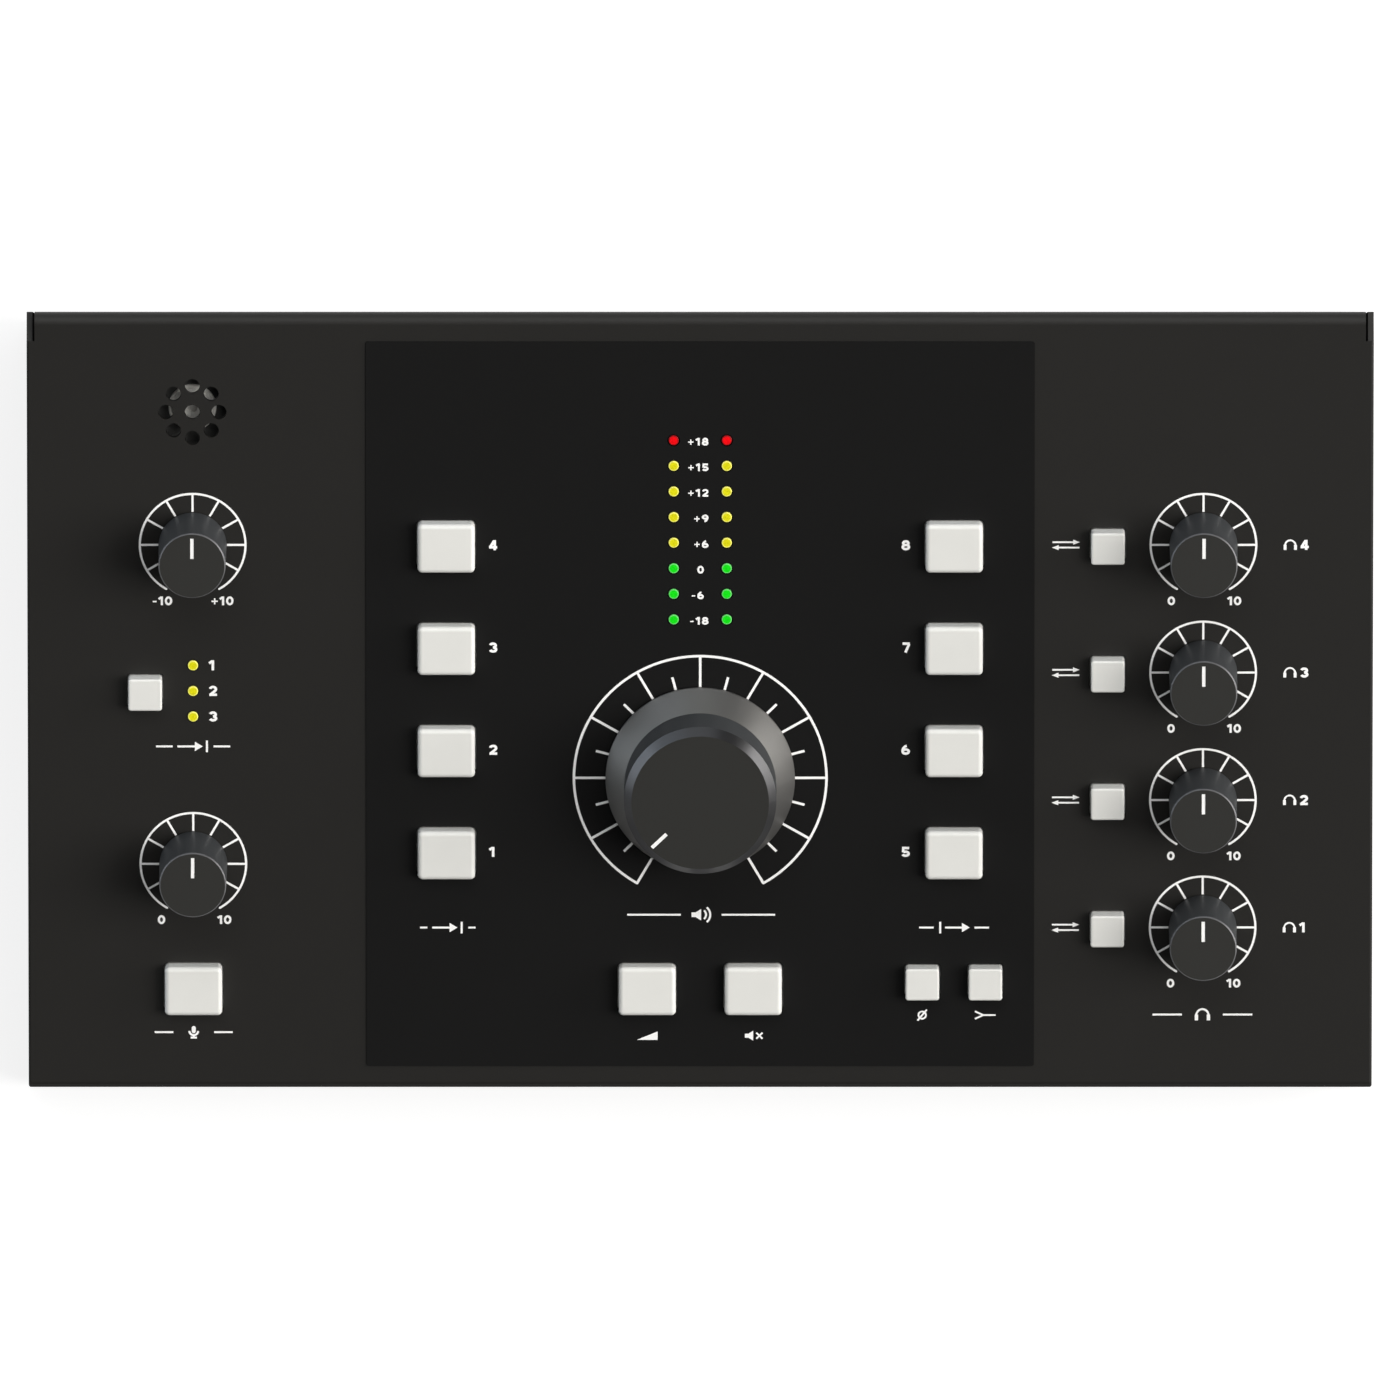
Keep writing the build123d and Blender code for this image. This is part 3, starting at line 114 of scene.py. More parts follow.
LENS_SHOULDER = 1.6  # radius of a lens where it is widest, below the deck
METER_COLUMN = deck_box("red_lenses")[1].x - LENS_SHOULDER  # x of the right column; the left mirrors it
METER_TOP = deck_centre("red_lenses")[1]
METER_PITCH = 5.5  # from row to row, also of the input lamps
INPUT_LAMP = KNOBS["mic_gain"][0], BUTTONS["input_button"][1]  # the middle one of the three


def srgb(red, green, blue):
    """A colour as it shows on a screen, 0 to 255, turned into the linear values that shaders use."""
    shares = (channel / 255 for channel in (red, green, blue))
    return tuple(s / 12.92 if s <= 0.04045 else ((s + 0.055) / 1.055) ** 2.4 for s in shares)


def colour(name, description, default):
    """A colour property."""
    return FloatVectorProperty(
        name=name, description=description, default=default, subtype="COLOR", size=3, min=0, max=1
    )


def length(name, description, millimetres):
    """A length property. Its default is given in millimetres and kept in metres."""
    return FloatProperty(
        name=name, description=description, default=millimetres * MM, unit="LENGTH", min=0, precision=5
    )


def amount(name, description, default, unit="NONE"):
    """A number property."""
    return FloatProperty(name=name, description=description, default=default, unit=unit, min=0)


class ControllerColours(bpy.types.PropertyGroup):
    """Colours of the finishes."""

    deck: colour("Deck", "Powder coat of the folded top cover", srgb(25, 24, 22))
    fascia: colour("Fascia", "Film on the middle of the deck", srgb(15, 15, 15))
    panel: colour("Panels", "Satin coat of the base plate and the rear panel", srgb(40, 40, 39))
    printing: colour("Printing", "Ink of scales, numbers and marks", srgb(250, 250, 249))
    cap: colour("Caps", "Moulded push-button caps", srgb(225, 225, 221))
    knob_top: colour("Knob tops", "Matte tops of all knobs", srgb(40, 40, 38))
    knob_side: colour("Knob sides", "Satin sides of the small knobs", srgb(50, 52, 54))
    skirt: colour("Main knob's skirt", "Satin metal of the main knob's skirt", (0.235, 0.231, 0.224))
    shoulder: colour("Main knob's shoulder", "Polished shoulder of the main knob", (0.085, 0.085, 0.088))
    red: colour("Red lamps", "Lit red lenses", srgb(205, 0, 9))
    red_rim: colour("Red rims", "Rims of the lit red lenses", srgb(126, 14, 18))
    yellow: colour("Yellow lamps", "Lit yellow lenses", srgb(188, 183, 12))
    yellow_rim: colour("Yellow rims", "Rims of the lit yellow lenses", srgb(212, 208, 102))
    green: colour("Green lamps", "Lit green lenses", srgb(12, 190, 16))
    green_rim: colour("Green rims", "Rims of the lit green lenses", srgb(92, 184, 95))
    capsule: colour("Microphone", "Brushed can of the microphone", srgb(228, 227, 222))
    rubber: colour("Feet", "Rubber of the feet", srgb(24, 24, 25))
    boot: colour("Boot", "Rubber boot of the microphone", srgb(58, 58, 57))
    socket: colour("Sockets", "Moulded socket bodies", srgb(22, 22, 23))


class ControllerPrint(bpy.types.PropertyGroup):
    """Sizes of what is printed on the deck and at the rear."""

    ink: length("Ink", "Thickness of the printed ink", 0.03)
    ring: length("Small ring", "Radius of a small knob's scale ring", 10.95)
    ring_line: length("Small ring line", "Width of a small ring's line", 0.45)
    tick_start: length("Small tick start", "Distance of a small scale's ticks from the axis", 7.1)
    main_ring: length("Main ring", "Radius of the main knob's scale ring", 26.2)
    main_ring_line: length("Main ring line", "Width of the main ring's line", 0.52)
    main_tick_start: length("Main tick start", "Distance of the main ticks from the axis", 19.6)
    short_tick_end: length("Short tick end", "Outer end of the main scale's short ticks", 22.4)
    digit: length("Dial digits", "Height of the numbers at the dials", 1.87)
    meter_digit: length("Meter digits", "Height of the numbers between the meter's lamps", 1.63)
    mark: length("Marks", "Height of the numbers and signs at the buttons", 2.15)
    heading: length("Headings", "Height of the signs that head a group", 2.5)
    rear_digit: length("Rear digits", "Height of the numbers at the rear sockets", 2.2)


class ControllerStudio(bpy.types.PropertyGroup):
    """Camera and lamps."""

    view_width: length("View width", "Width of the camera's view at the middle of the deck", 290.46)
    lens: amount("Lens", "Focal length of the camera, in millimetres", 1600.0, unit="CAMERA")
    key: amount("Key", "Brightness of the large softbox at the right; 1 is white", 7.2)
    high: amount("High", "Brightness of the softbox high at the right", 3.6)
    overhead: amount("Overhead", "Brightness of the softbox above and behind", 2.4)
    side: amount("Side", "Brightness of the low softbox at the right", 8.3)
    cool: amount("Cool", "Brightness of the low strip at the left", 10.0)
    far_cool: amount("Far cool", "Brightness of the low strip behind at the left", 4.0)
    rear: amount("Rear", "Brightness of the low softbox behind", 1.8)
    sky: amount("Sky", "Strength of the even light from all round", 0.06)
    floor_glow: amount("Floor glow", "What the floor adds to itself where it is seen or mirrored", 0.8)


# ------------------------------------------------------------------ materials
class Wire:
    """A node's output. Arithmetic and comparisons with wires and numbers add Math nodes."""

    def __init__(self, graph, socket):
        self.graph = graph
        self.socket = socket

    def math(self, operation, *terms):
        """A Math node on the given terms, or on this wire alone."""
        return self.graph.node("Math", {"operation": operation}, dict(enumerate(terms or (self,))))

    def __add__(self, other):
        return self.math("ADD", self, other)

    __radd__ = __add__

    def __sub__(self, other):
        return self.math("SUBTRACT", self, other)

    def __rsub__(self, other):
        return self.math("SUBTRACT", other, self)

    def __mul__(self, other):
        return self.math("MULTIPLY", self, other)

    __rmul__ = __mul__

    def __truediv__(self, other):
        return self.math("DIVIDE", self, other)

    def __gt__(self, other):
        return self.math("GREATER_THAN", self, other)

    def __lt__(self, other):
        return self.math("LESS_THAN", self, other)

    def __abs__(self):
        return self.math("ABSOLUTE")


class Graph:
    """Adds nodes to one node tree."""

    def __init__(self, tree):
        self.nodes = tree.nodes
        self.links = tree.links

    def fill(self, node, sockets):
        """Set a node's sockets to values, or link them to wires."""
        for name, value in sockets.items():
            if isinstance(value, Wire):
                self.links.new(value.socket, node.inputs[name])
            elif isinstance(value, tuple) and node.inputs[name].type == "RGBA":
                node.inputs[name].default_value = (*value, 1)
            else:
                node.inputs[name].default_value = value

    def node(self, kind, settings=None, sockets=None, output=0):
        """Add a node: its settings first, then its sockets. Returns one output."""
        made = self.nodes.new("ShaderNode" + kind)
        for name, value in (settings or {}).items():
            setattr(made, name, value)
        self.fill(made, sockets or {})
        return Wire(self, made.outputs[output])


class Finish(Graph):
    """One procedural material around a Principled shader."""

    def __init__(self, name):
        self.material = bpy.data.materials.new(name)
        self.material.use_nodes = True
        super().__init__(self.material.node_tree)
        self.shader = self.nodes["Principled BSDF"]

    def place(self):
        """Position on the piece, in metres."""
        return self.node("TexCoord", output="Object")

    def along(self, vector, direction):
        """How far a vector goes in a direction."""
        vectors = {0: vector, 1: tuple(direction)}
        return self.node("VectorMath", {"operation": "DOT_PRODUCT"}, vectors, output=1)

    def facing(self):
        """How squarely a face looks up from the deck: 1 on tops, 0 on upright sides."""
        return self.along(self.node("TexCoord", output="Normal"), DECK_UP)

    def deck_mm(self, axis):
        """Position along one of the deck's axes, in millimetres from the main knob's place on the deck."""
        direction = DECK.col[axis].xyz
        return (self.along(self.place(), direction) - direction.dot(DECK.translation)) / MM

    def ramp(self, wire, low, high):
        """From 0 at the low value to 1 at the high one, eased."""
        sockets = {"Value": wire, "From Min": low, "From Max": high}
        return self.node("MapRange", {"interpolation_type": "SMOOTHSTEP"}, sockets)

    def noise(self, grain, detail=2.0, stretch=(1, 1, 1)):
        """Noise with features of about one grain, given in millimetres, stretched along the axes."""
        vector = self.node("Mapping", {"vector_type": "TEXTURE"}, {"Vector": self.place(), "Scale": stretch})
        return self.node("TexNoise", {}, {"Vector": vector, "Scale": 1 / (grain * MM), "Detail": detail})

    def mix(self, wire, first, second):
        """One colour at 0 and another at 1."""
        return self.node("Mix", {"data_type": "RGBA"}, {0: wire, 6: first, 7: second}, output=2)

    def tint(self, wire, tone, spread):
        """A colour that brightens and darkens by a share of itself as a wire goes round 0.5."""
        share = 1 + 2 * spread * (wire - 0.5)
        level = self.node("CombineColor", {}, {channel: share for channel in range(3)})
        settings = {"data_type": "RGBA", "blend_type": "MULTIPLY"}
        return self.node("Mix", settings, {0: 1.0, 6: tone, 7: level}, output=2)

    def bump(self, height, depth):
        """A bumped normal. Depth is in millimetres."""
        return self.node("Bump", {}, {"Height": height, "Distance": depth * MM})

    def set(self, sockets):
        """Fill the shader's sockets and hand over the material."""
        self.fill(self.shader, sockets)
        return self.material


# how squarely a face looks up, or to the rear, where it begins to count as flat, or rear, and where it does
FLAT_FACING = 0.75, 0.97
REAR_FACING = 0.1, 0.3
BEND_ROUGHNESS = 0.9  # of the coat on bends and folds that are neither flat nor rear
SIDE_FACING = 0.9  # the least for a face of the folded sides
INNER_FACE = 138.4  # the inner faces of the folded sides are nearer to the middle than this, in millimetres
PAINTED_INSIDE_SHADE = (0.003, 0.003, 0.003)  # painted shade: near-black colour put on those inner faces in place of the shadow within the case


def coated_steel(name, base, grain, depth, roughness, specular=0.25):
    """Powder-coated steel: orange-peel grain, faint unevenness of colour and sheen, and painted shade: inner faces
    made near-black.
    """
    finish = Finish(name)
    normal = finish.node("TexCoord", output="Normal")
    peel = finish.noise(grain, 3.0)
    speckle = finish.noise(grain / 3, 1.0)
    to_rear = finish.ramp(finish.along(normal, DECK_ALONG), *REAR_FACING)
    bent = (1 - finish.ramp(finish.facing(), *FLAT_FACING)) * (1 - to_rear)
    finish.set(
        {
            "Base Color": finish.tint(finish.noise(9.0, 3.0), base, 0.06),
            "Roughness": roughness + 0.12 * (peel - 0.5) + (BEND_ROUGHNESS - roughness) * bent,
            "Specular IOR Level": specular,
            "Normal": finish.bump(0.7 * peel + 0.3 * speckle, depth),
        }
    )
    # painted shade: sideways faces within the case get a near-black diffuse shader instead of the coat
    sideways = abs(finish.along(normal, (1, 0, 0))) > SIDE_FACING
    painted_shade_mask = sideways * (abs(finish.deck_mm(0)) < INNER_FACE)
    painted_shade = finish.node("BsdfDiffuse", {}, {"Color": PAINTED_INSIDE_SHADE})
    coat = Wire(finish, finish.shader.outputs[0])
    both = finish.node("MixShader", {}, {0: painted_shade_mask, 1: coat, 2: painted_shade})
    finish.fill(finish.nodes["Material Output"], {"Surface": both})
    return finish.material


def moulded_plastic(name, base, roughness, specular=0.4, depth=0.006, grain=0.22):
    """Moulded plastic with a fine spark-eroded texture."""
    finish = Finish(name)
    spark = finish.noise(grain, 2.0)
    return finish.set(
        {
            "Base Color": finish.tint(finish.noise(6.0, 2.0), base, 0.025),
            "Roughness": roughness + 0.08 * (spark - 0.5),
            "Specular IOR Level": specular,
            "Normal": finish.bump(spark, depth),
        }
    )


def rubber(name, base):
    """Soft rubber: dull, with dusty patches."""
    finish = Finish(name)
    dust = finish.noise(2.5, 4.0)
    return finish.set(
        {
            "Base Color": finish.tint(dust, base, 0.18),
            "Roughness": 0.72 + 0.14 * dust,
            "Specular IOR Level": 0.25,
            "Normal": finish.bump(finish.noise(0.15), 0.01),
        }
    )


def turned_metal(name, base, roughness):
    """Machined metal with fine tool marks."""
    finish = Finish(name)
    marks = finish.noise(0.05)
    return finish.set(
        {
            "Base Color": finish.tint(finish.noise(1.8, 3.0), base, 0.05),
            "Metallic": 1.0,
            "Roughness": roughness + 0.14 * (marks - 0.5),
            "Normal": finish.bump(marks, 0.002),
        }
    )


BOARD_GRID = 2.54  # millimetres between a board's tracks
LACQUER, LACQUER_OVER_COPPER = srgb(14, 62, 38), srgb(30, 96, 58)


def circuit_board(name):
    """Green solder mask over copper tracks."""
    finish = Finish(name)
    tracks = finish.node(
        "TexBrick",
        {"offset": 0.5, "squash": 1.0},
        {
            "Vector": finish.place(),
            "Color1": (0, 0, 0),
            "Color2": (0, 0, 0),
            "Mortar": (1, 1, 1),
            "Scale": 1 / (BOARD_GRID * MM),
            "Mortar Size": 0.03,
            "Brick Width": 2.0,
            "Row Height": 1.0,
        },
    )
    return finish.set(
        {
            "Base Color": finish.mix(tracks, LACQUER, LACQUER_OVER_COPPER),
            "Roughness": 0.3 + 0.1 * finish.noise(3.0),
            "Normal": finish.bump(tracks, 0.03),
        }
    )


LENS_GLOW = 0.45  # what a lens gives off, as a share of its colour
LENS_RIM = 0.74, 0.92  # millimetres from a lens's axis at which its rim begins and is full
LENS_MOUTH = -0.2, -0.05  # millimetres from the deck at which a lens still has its painted shade, and at which it is fully lit
LENS_SHADE = 0.04  # painted shade: what is left of a lens's colour below the deck, where the hole's shadow falls


def lit_lens(name, base, rim_tone):
    """A lit lens: tinted plastic with a paler rim, with painted shade below the hole that it looks out of, where
    it also gives off no light.
    """
    finish = Finish(name)
    across, along, height = (finish.deck_mm(axis) for axis in range(3))

    def from_row(first):
        """Distance to the nearest row of lamps, counted from one row's place."""
        share = ((along - first) / METER_PITCH + 0.5).math("FRACT")
        return METER_PITCH * abs(share - 0.5)

    def squares(first, second):
        return first * first + second * second

    meter = squares(abs(across) - METER_COLUMN, from_row(METER_TOP))
    beside = squares(across - INPUT_LAMP[0], from_row(INPUT_LAMP[1]))
    radius = finish.node("Math", {"operation": "MINIMUM"}, {0: meter, 1: beside}).math("SQRT")
    rim = finish.ramp(radius, *LENS_RIM)
    out = finish.ramp(height, *LENS_MOUTH)
    haze = finish.noise(0.35, 2.0)
    tone = finish.tint(haze, finish.mix(rim, base, rim_tone), 0.4)
    # painted shade: below the deck the lens's colour is cut to a small share of itself
    painted_shade = tuple(LENS_SHADE * channel for channel in base)
    return finish.set(
        {
            "Base Color": finish.mix(out, painted_shade, tone),
            "Roughness": 0.4 + 0.1 * haze,
            "Specular IOR Level": 0.15,
            "Emission Color": finish.mix(out, (0, 0, 0), tone),
            "Emission Strength": LENS_GLOW,
        }
    )


def ink(name, base):
    """Screen-printed ink."""
    finish = Finish(name)
    mesh_marks = finish.noise(0.12, 1.0)
    return finish.set(
        {
            "Base Color": finish.tint(mesh_marks, base, 0.01),
            "Roughness": 0.5 + 0.1 * mesh_marks,
            "Specular IOR Level": 0.3,
            "Normal": finish.bump(mesh_marks, 0.003),
        }
    )


def brushed_can(name, base):
    """The microphone's can: satin metal with scratches along one way."""
    finish = Finish(name)
    scratches = finish.noise(0.9, 3.0, (0.12, 1, 1))
    return finish.set(
        {
            "Base Color": finish.tint(scratches, base, 0.2),
            "Metallic": 0.2,
            "Roughness": 0.5 + 0.2 * scratches,
            "Normal": finish.bump(scratches, 0.015),
        }
    )


KNOB_FLAT = 0.93, 0.98  # how squarely a face looks up where a knob's flat top begins and is full
KNOB_EDGE = 0.2, 0.45  # the same for the edge round a small knob's top
EDGE_TONE = (0.12, 0.12, 0.125)
NECK_TONE = srgb(56, 58, 60)  # of the main knob
SKIRT_TOP = 7.0, 7.4  # millimetres over the deck at which the main knob's skirt ends and its neck begins
SHOULDER_FOOT = 17.5, 17.75  # and at which the neck ends and the shoulder begins


def small_knob(name, top, side):
    """Moulded knob: matte on its flat top, satin at its side, with a polished edge between."""
    finish = Finish(name)
    facing = finish.facing()
    flat = finish.ramp(facing, *KNOB_FLAT)
    edge = finish.ramp(facing, *KNOB_EDGE) * (1 - flat)
    grain = finish.noise(0.12)
    tone = finish.mix(edge, finish.mix(flat, side, top), EDGE_TONE)
    return finish.set(
        {
            "Base Color": finish.tint(grain, tone, 0.05),
            "Metallic": 0.6 * edge,
            "Roughness": 0.5 + 0.04 * flat + 0.06 * (grain - 0.5),
            "Specular IOR Level": 0.3,
            "Normal": finish.bump(grain, 0.003),
        }
    )


def main_knob(name, top, skirt_tone, shoulder_tone):
    """Turned and anodised knob: satin skirt, dull neck, polished shoulder and a matte top."""
    finish = Finish(name)
    facing, height = finish.facing(), finish.deck_mm(2)
    flat = finish.ramp(facing, *KNOB_FLAT)
    skirt = 1 - finish.ramp(height, *SKIRT_TOP)
    shoulder = finish.ramp(height, *SHOULDER_FOOT) * (1 - flat)
    grain = finish.noise(0.12)
    body = finish.mix(flat, NECK_TONE, top)
    tone = finish.mix(shoulder, finish.mix(skirt, body, skirt_tone), shoulder_tone)
    return finish.set(
        {
            "Base Color": finish.tint(grain, tone, 0.05),
            "Metallic": finish.node("Math", {"operation": "MAXIMUM"}, {0: skirt, 1: shoulder}),
            "Roughness": 0.5 - 0.03 * skirt - 0.15 * shoulder + 0.06 * (grain - 0.5),
            "Specular IOR Level": 0.3,
            "Normal": finish.bump(grain, 0.003),
        }
    )


def dress(material, *nodes):
    """Give CAD nodes their material."""
    for name in nodes:
        slots = frame["nodes"][name].data.materials
        slots.clear()
        slots.append(material)


# ------------------------------------------------------------------ printing
def arc(centre, radii, start, end, steps=24):
    """Points on an ellipse's arc. Angles are in degrees, anticlockwise from the right."""
    turns = [math.radians(start + (end - start) * i / steps) for i in range(steps + 1)]
    return [(centre[0] + radii[0] * math.cos(turn), centre[1] + radii[1] * math.sin(turn)) for turn in turns]


def loop(centre, radii, steps=24):
    """Points round a whole ellipse, the first not repeated."""
    return arc(centre, radii, 0, 360, steps)[:-1]


def polar(centre, radius, turn):
    """A point at a radius and a turn in degrees, anticlockwise from straight up the deck."""
    angle = math.radians(turn)
    return centre[0] - radius * math.sin(angle), centre[1] + radius * math.cos(angle)


# Digits one unit high: each glyph's width, the width of its strokes, and their centre lines. A centre
# line given as a tuple is open, and one given as a list is closed.
BOLD, LIGHT = 0.25, 0.17
DIGIT_GAP = 0.19
SIX = [loop((0.41, 0.32), (0.295, 0.205)), (*arc((0.6, 0.36), (0.485, 0.53), 180, 100),)]
GLYPHS = {
    "0": (0.82, BOLD, [loop((0.41, 0.5), (0.295, 0.385))]),
    "1": (0.52, BOLD, [((0.385, 0), (0.385, 1)), ((0.02, 0.7), (0.34, 0.92))]),
    "2": (
        0.8,
        BOLD,
        [(*arc((0.4, 0.665), (0.28, 0.22), 170, -40), (0.15, 0.13)), ((0.04, 0.115), (0.78, 0.115))],
    ),
    "3": (
        0.8,
        BOLD,
        [(*arc((0.385, 0.695), (0.265, 0.19), 165, -90),), (*arc((0.4, 0.31), (0.28, 0.195), 90, -165),)],
    ),
    "4": (0.82, BOLD, [((0.56, 0), (0.56, 1)), ((0.02, 0.29), (0.8, 0.29)), ((0.12, 0.31), (0.5, 0.93))]),
    "5": (
        0.8,
        BOLD,
        [((0.15, 0.46), (0.18, 0.885), (0.74, 0.885)), (*arc((0.385, 0.315), (0.3, 0.2), 135, -160),)],
    ),
    "6": (0.82, BOLD, SIX),
    "7": (0.76, BOLD, [((0.04, 0.885), (0.74, 0.885)), ((0.68, 0.85), (0.32, 0))]),
    "8": (0.82, BOLD, [loop((0.41, 0.7), (0.25, 0.185)), loop((0.41, 0.315), (0.295, 0.2))]),
    "9": (0.82, BOLD, [type(line)((0.82 - x, 1 - y) for x, y in line) for line in SIX]),
    "+": (0.72, LIGHT, [((0.02, 0.45), (0.7, 0.45)), ((0.36, 0.11), (0.36, 0.79))]),
    "-": (0.46, LIGHT, [((0.02, 0.42), (0.44, 0.42))]),
}

# Signs about one unit high round their middle: centre lines, and filled outlines.
HEAD = [(0.15, -0.4), (0.8, 0), (0.15, 0.4)]
HORN = [(-0.8, -0.2), (-0.45, -0.2), (0, -0.5), (0, 0.5), (-0.45, 0.2), (-0.8, 0.2)]
SIGNS = {
    "arrow_in": ([((-1.3, 0), (0.25, 0)), ((1.15, -0.5), (1.15, 0.5))], [HEAD]),
    "arrow_out": (
        [((-1.15, -0.5), (-1.15, 0.5)), ((-0.75, 0), (0.7, 0))],
        [[(x + 0.5, y) for x, y in HEAD]],
    ),
    "loudspeaker": ([(*arc((-0.1, 0), (r, r), -48, 48, 12),) for r in (0.5, 0.85)], [HORN]),
    "silence": ([((0.3, -0.3), (0.9, 0.3)), ((0.3, 0.3), (0.9, -0.3))], [HORN]),
    "wedge": ([], [[(-1.0, -0.42), (1.0, -0.42), (1.0, 0.42)]]),
    "headphones": (
        [(*arc((0, -0.12), (0.52, 0.58), 0, 180),)],
        [[(x - 0.14, -0.5), (x + 0.14, -0.5), (x + 0.14, 0), (x - 0.14, 0)] for x in (-0.5, 0.5)],
    ),
    "microphone": (
        [(*arc((0, 0.1), (0.36, 0.36), 180, 360),), ((0, -0.2), (0, -0.5)), ((-0.26, -0.47), (0.26, -0.47))],
        [arc((0, 0.36), (0.17, 0.17), 0, 180, 10) + arc((0, 0.08), (0.17, 0.17), 180, 360, 10)],
    ),
    "flip": ([loop((0, 0), (0.36, 0.36)), ((-0.45, -0.55), (0.45, 0.55))], []),
    "merge": ([((-1.0, 0.38), (-0.2, 0), (1.0, 0)), ((-1.0, -0.38), (-0.2, 0))], []),
    "choice": (
        [((-1.3, 0.27), (0.8, 0.27)), ((-0.8, -0.27), (1.3, -0.27))],
        [[(0.7, 0.02), (1.35, 0.27), (0.7, 0.52)], [(-0.7, -0.52), (-1.35, -0.27), (-0.7, -0.02)]],
    ),
}
SIGN_STROKE = 0.17
RULE = 0.16  # width of the rules beside a heading's sign, as a share of its height
RULE_GAP = 1.7  # from the middle of the sign to the start of its rules, in the same shares
INK_STEP = 0.8  # crossing strokes are this share as thick, so that no two tops lie in one plane
ROUND_END = (80, 60, 40, 20)  # degrees at which a round end has points
SHARPEST_MITRE = 0.5  # cosine of half a corner's turn, below which its mitre grows no longer


class Sheet:
    """Collects printed shapes in deck millimetres, each a thin closed slab."""

    def __init__(self, base, thickness):
        self.mesh = bmesh.new()
        self.base = base
        self.thickness = thickness

    def stroke(self, path, width, rounded=False, layer=1.0):
        """A slab along a centre line, mitred at its corners: open along a tuple, closed along a list."""
        closed = isinstance(path, list)
        points = [Vector(point) for point in path]
        half = width / 2
        stations = []
        for i, point in enumerate(points):
            before = points[i - 1] if closed or i else None
            after = points[(i + 1) % len(points)] if closed or i + 1 < len(points) else None
            arriving = (point - before).normalized() if before else (after - point).normalized()
            leaving = (after - point).normalized() if after else arriving
            along = (arriving + leaving).normalized()
            stations.append((point, along, half / max(SHARPEST_MITRE, along.dot(arriving))))
        if rounded:
            angles = [math.radians(a) for a in ROUND_END]
            (first, start, _), (last, end, _) = stations[0], stations[-1]
            opening = [(first - start * half * math.sin(a), start, half * math.cos(a)) for a in angles]
            closing = [(last + end * half * math.sin(a), end, half * math.cos(a)) for a in reversed(angles)]
            stations = opening + stations + closing
        top = self.base + self.thickness * layer
        rings = []
        for point, along, reach in stations:
            side = Vector((-along.y, along.x)) * reach
            left, right = point + side, point - side
            corners = [(*left, self.base), (*right, self.base), (*right, top), (*left, top)]
            rings.append([self.mesh.verts.new(corner) for corner in corners])
        following = rings[1:] + rings[:1] if closed else rings[1:]
        for ring, after in zip(rings, following):
            for i in range(4):
                j = (i + 1) % 4
                self.mesh.faces.new((ring[i], ring[j], after[j], after[i]))
        if not closed:
            self.mesh.faces.new(reversed(rings[0]))
            self.mesh.faces.new(rings[-1])

    def outline(self, corners):
        """A filled outline."""
        low = [self.mesh.verts.new((*corner, self.base)) for corner in corners]
        high = [self.mesh.verts.new((*corner, self.base + self.thickness * INK_STEP)) for corner in corners]
        self.mesh.faces.new(list(reversed(low)))
        self.mesh.faces.new(high)
        for i in range(len(corners)):
            j = (i + 1) % len(corners)
            self.mesh.faces.new((low[i], low[j], high[j], high[i]))

    def number(self, text, place, height, align=0.5, gap=DIGIT_GAP):
        """Digits, centred on the place's v, with its x at a share of their width."""
        width = sum(GLYPHS[character][0] for character in text) + gap * (len(text) - 1)
        x = place[0] - align * width * height
        for character in text:
            advance, weight, strokes = GLYPHS[character]
            for i, line in enumerate(strokes):
                path = type(line)((x + px * height, place[1] + (py - 0.5) * height) for px, py in line)
                self.stroke(path, weight * height, layer=INK_STEP**i)
            x += (advance + gap) * height

    def sign(self, name, place, height):
        """A sign round a place."""
        strokes, fills = SIGNS[name]
        for i, line in enumerate(strokes):
            path = type(line)((place[0] + px * height, place[1] + py * height) for px, py in line)
            self.stroke(path, SIGN_STROKE * height, layer=INK_STEP ** (i + 2))
        for corners in fills:
            self.outline([(place[0] + px * height, place[1] + py * height) for px, py in corners])

    def heading(self, name, place, height, width):
        """A sign between two short rules."""
        self.sign(name, place, height)
        for side in (-1, 1):
            ends = [(place[0] + side * reach, place[1]) for reach in (RULE_GAP * height, width / 2)]
            self.stroke(tuple(ends), RULE * height, layer=INK_STEP)

    def piece(self, name, material, body, slot, to_world=DECK_MM):
        """Turn the sheet into a piece that rides on a body."""
        bmesh.ops.recalc_face_normals(self.mesh, faces=self.mesh.faces)
        mesh = bpy.data.meshes.new(name)
        self.mesh.to_mesh(mesh)
        self.mesh.free()
        mesh.transform(to_world)
        mesh.materials.append(material)
        made = bpy.data.objects.new(name, mesh)
        bpy.context.scene.collection.objects.link(made)
        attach(made, body)


class ControllerOperator:
    """What all of the operators share."""

    bl_options = {"REGISTER", "UNDO"}

    @property
    def colours(self):
        """Colours of the finishes, by name."""
        group = bpy.context.scene.controller_colours
        return {name: tuple(getattr(group, name)) for name in group.__annotations__}

    @property
    def sizes(self):
        """Sizes of the printing, in millimetres."""
        group = bpy.context.scene.controller_print
        return {name: getattr(group, name) / MM for name in group.__annotations__}

    def sheet(self, x):
        """An empty sheet on the surface that is printed on at x."""
        return Sheet(FASCIA_TOP if abs(x) < FASCIA_EDGE else 0.0, self.sizes["ink"])

    def white(self):
        """The one printing ink, made once."""
        return bpy.data.materials.get("printing_ink") or ink("printing_ink", self.colours["printing"])


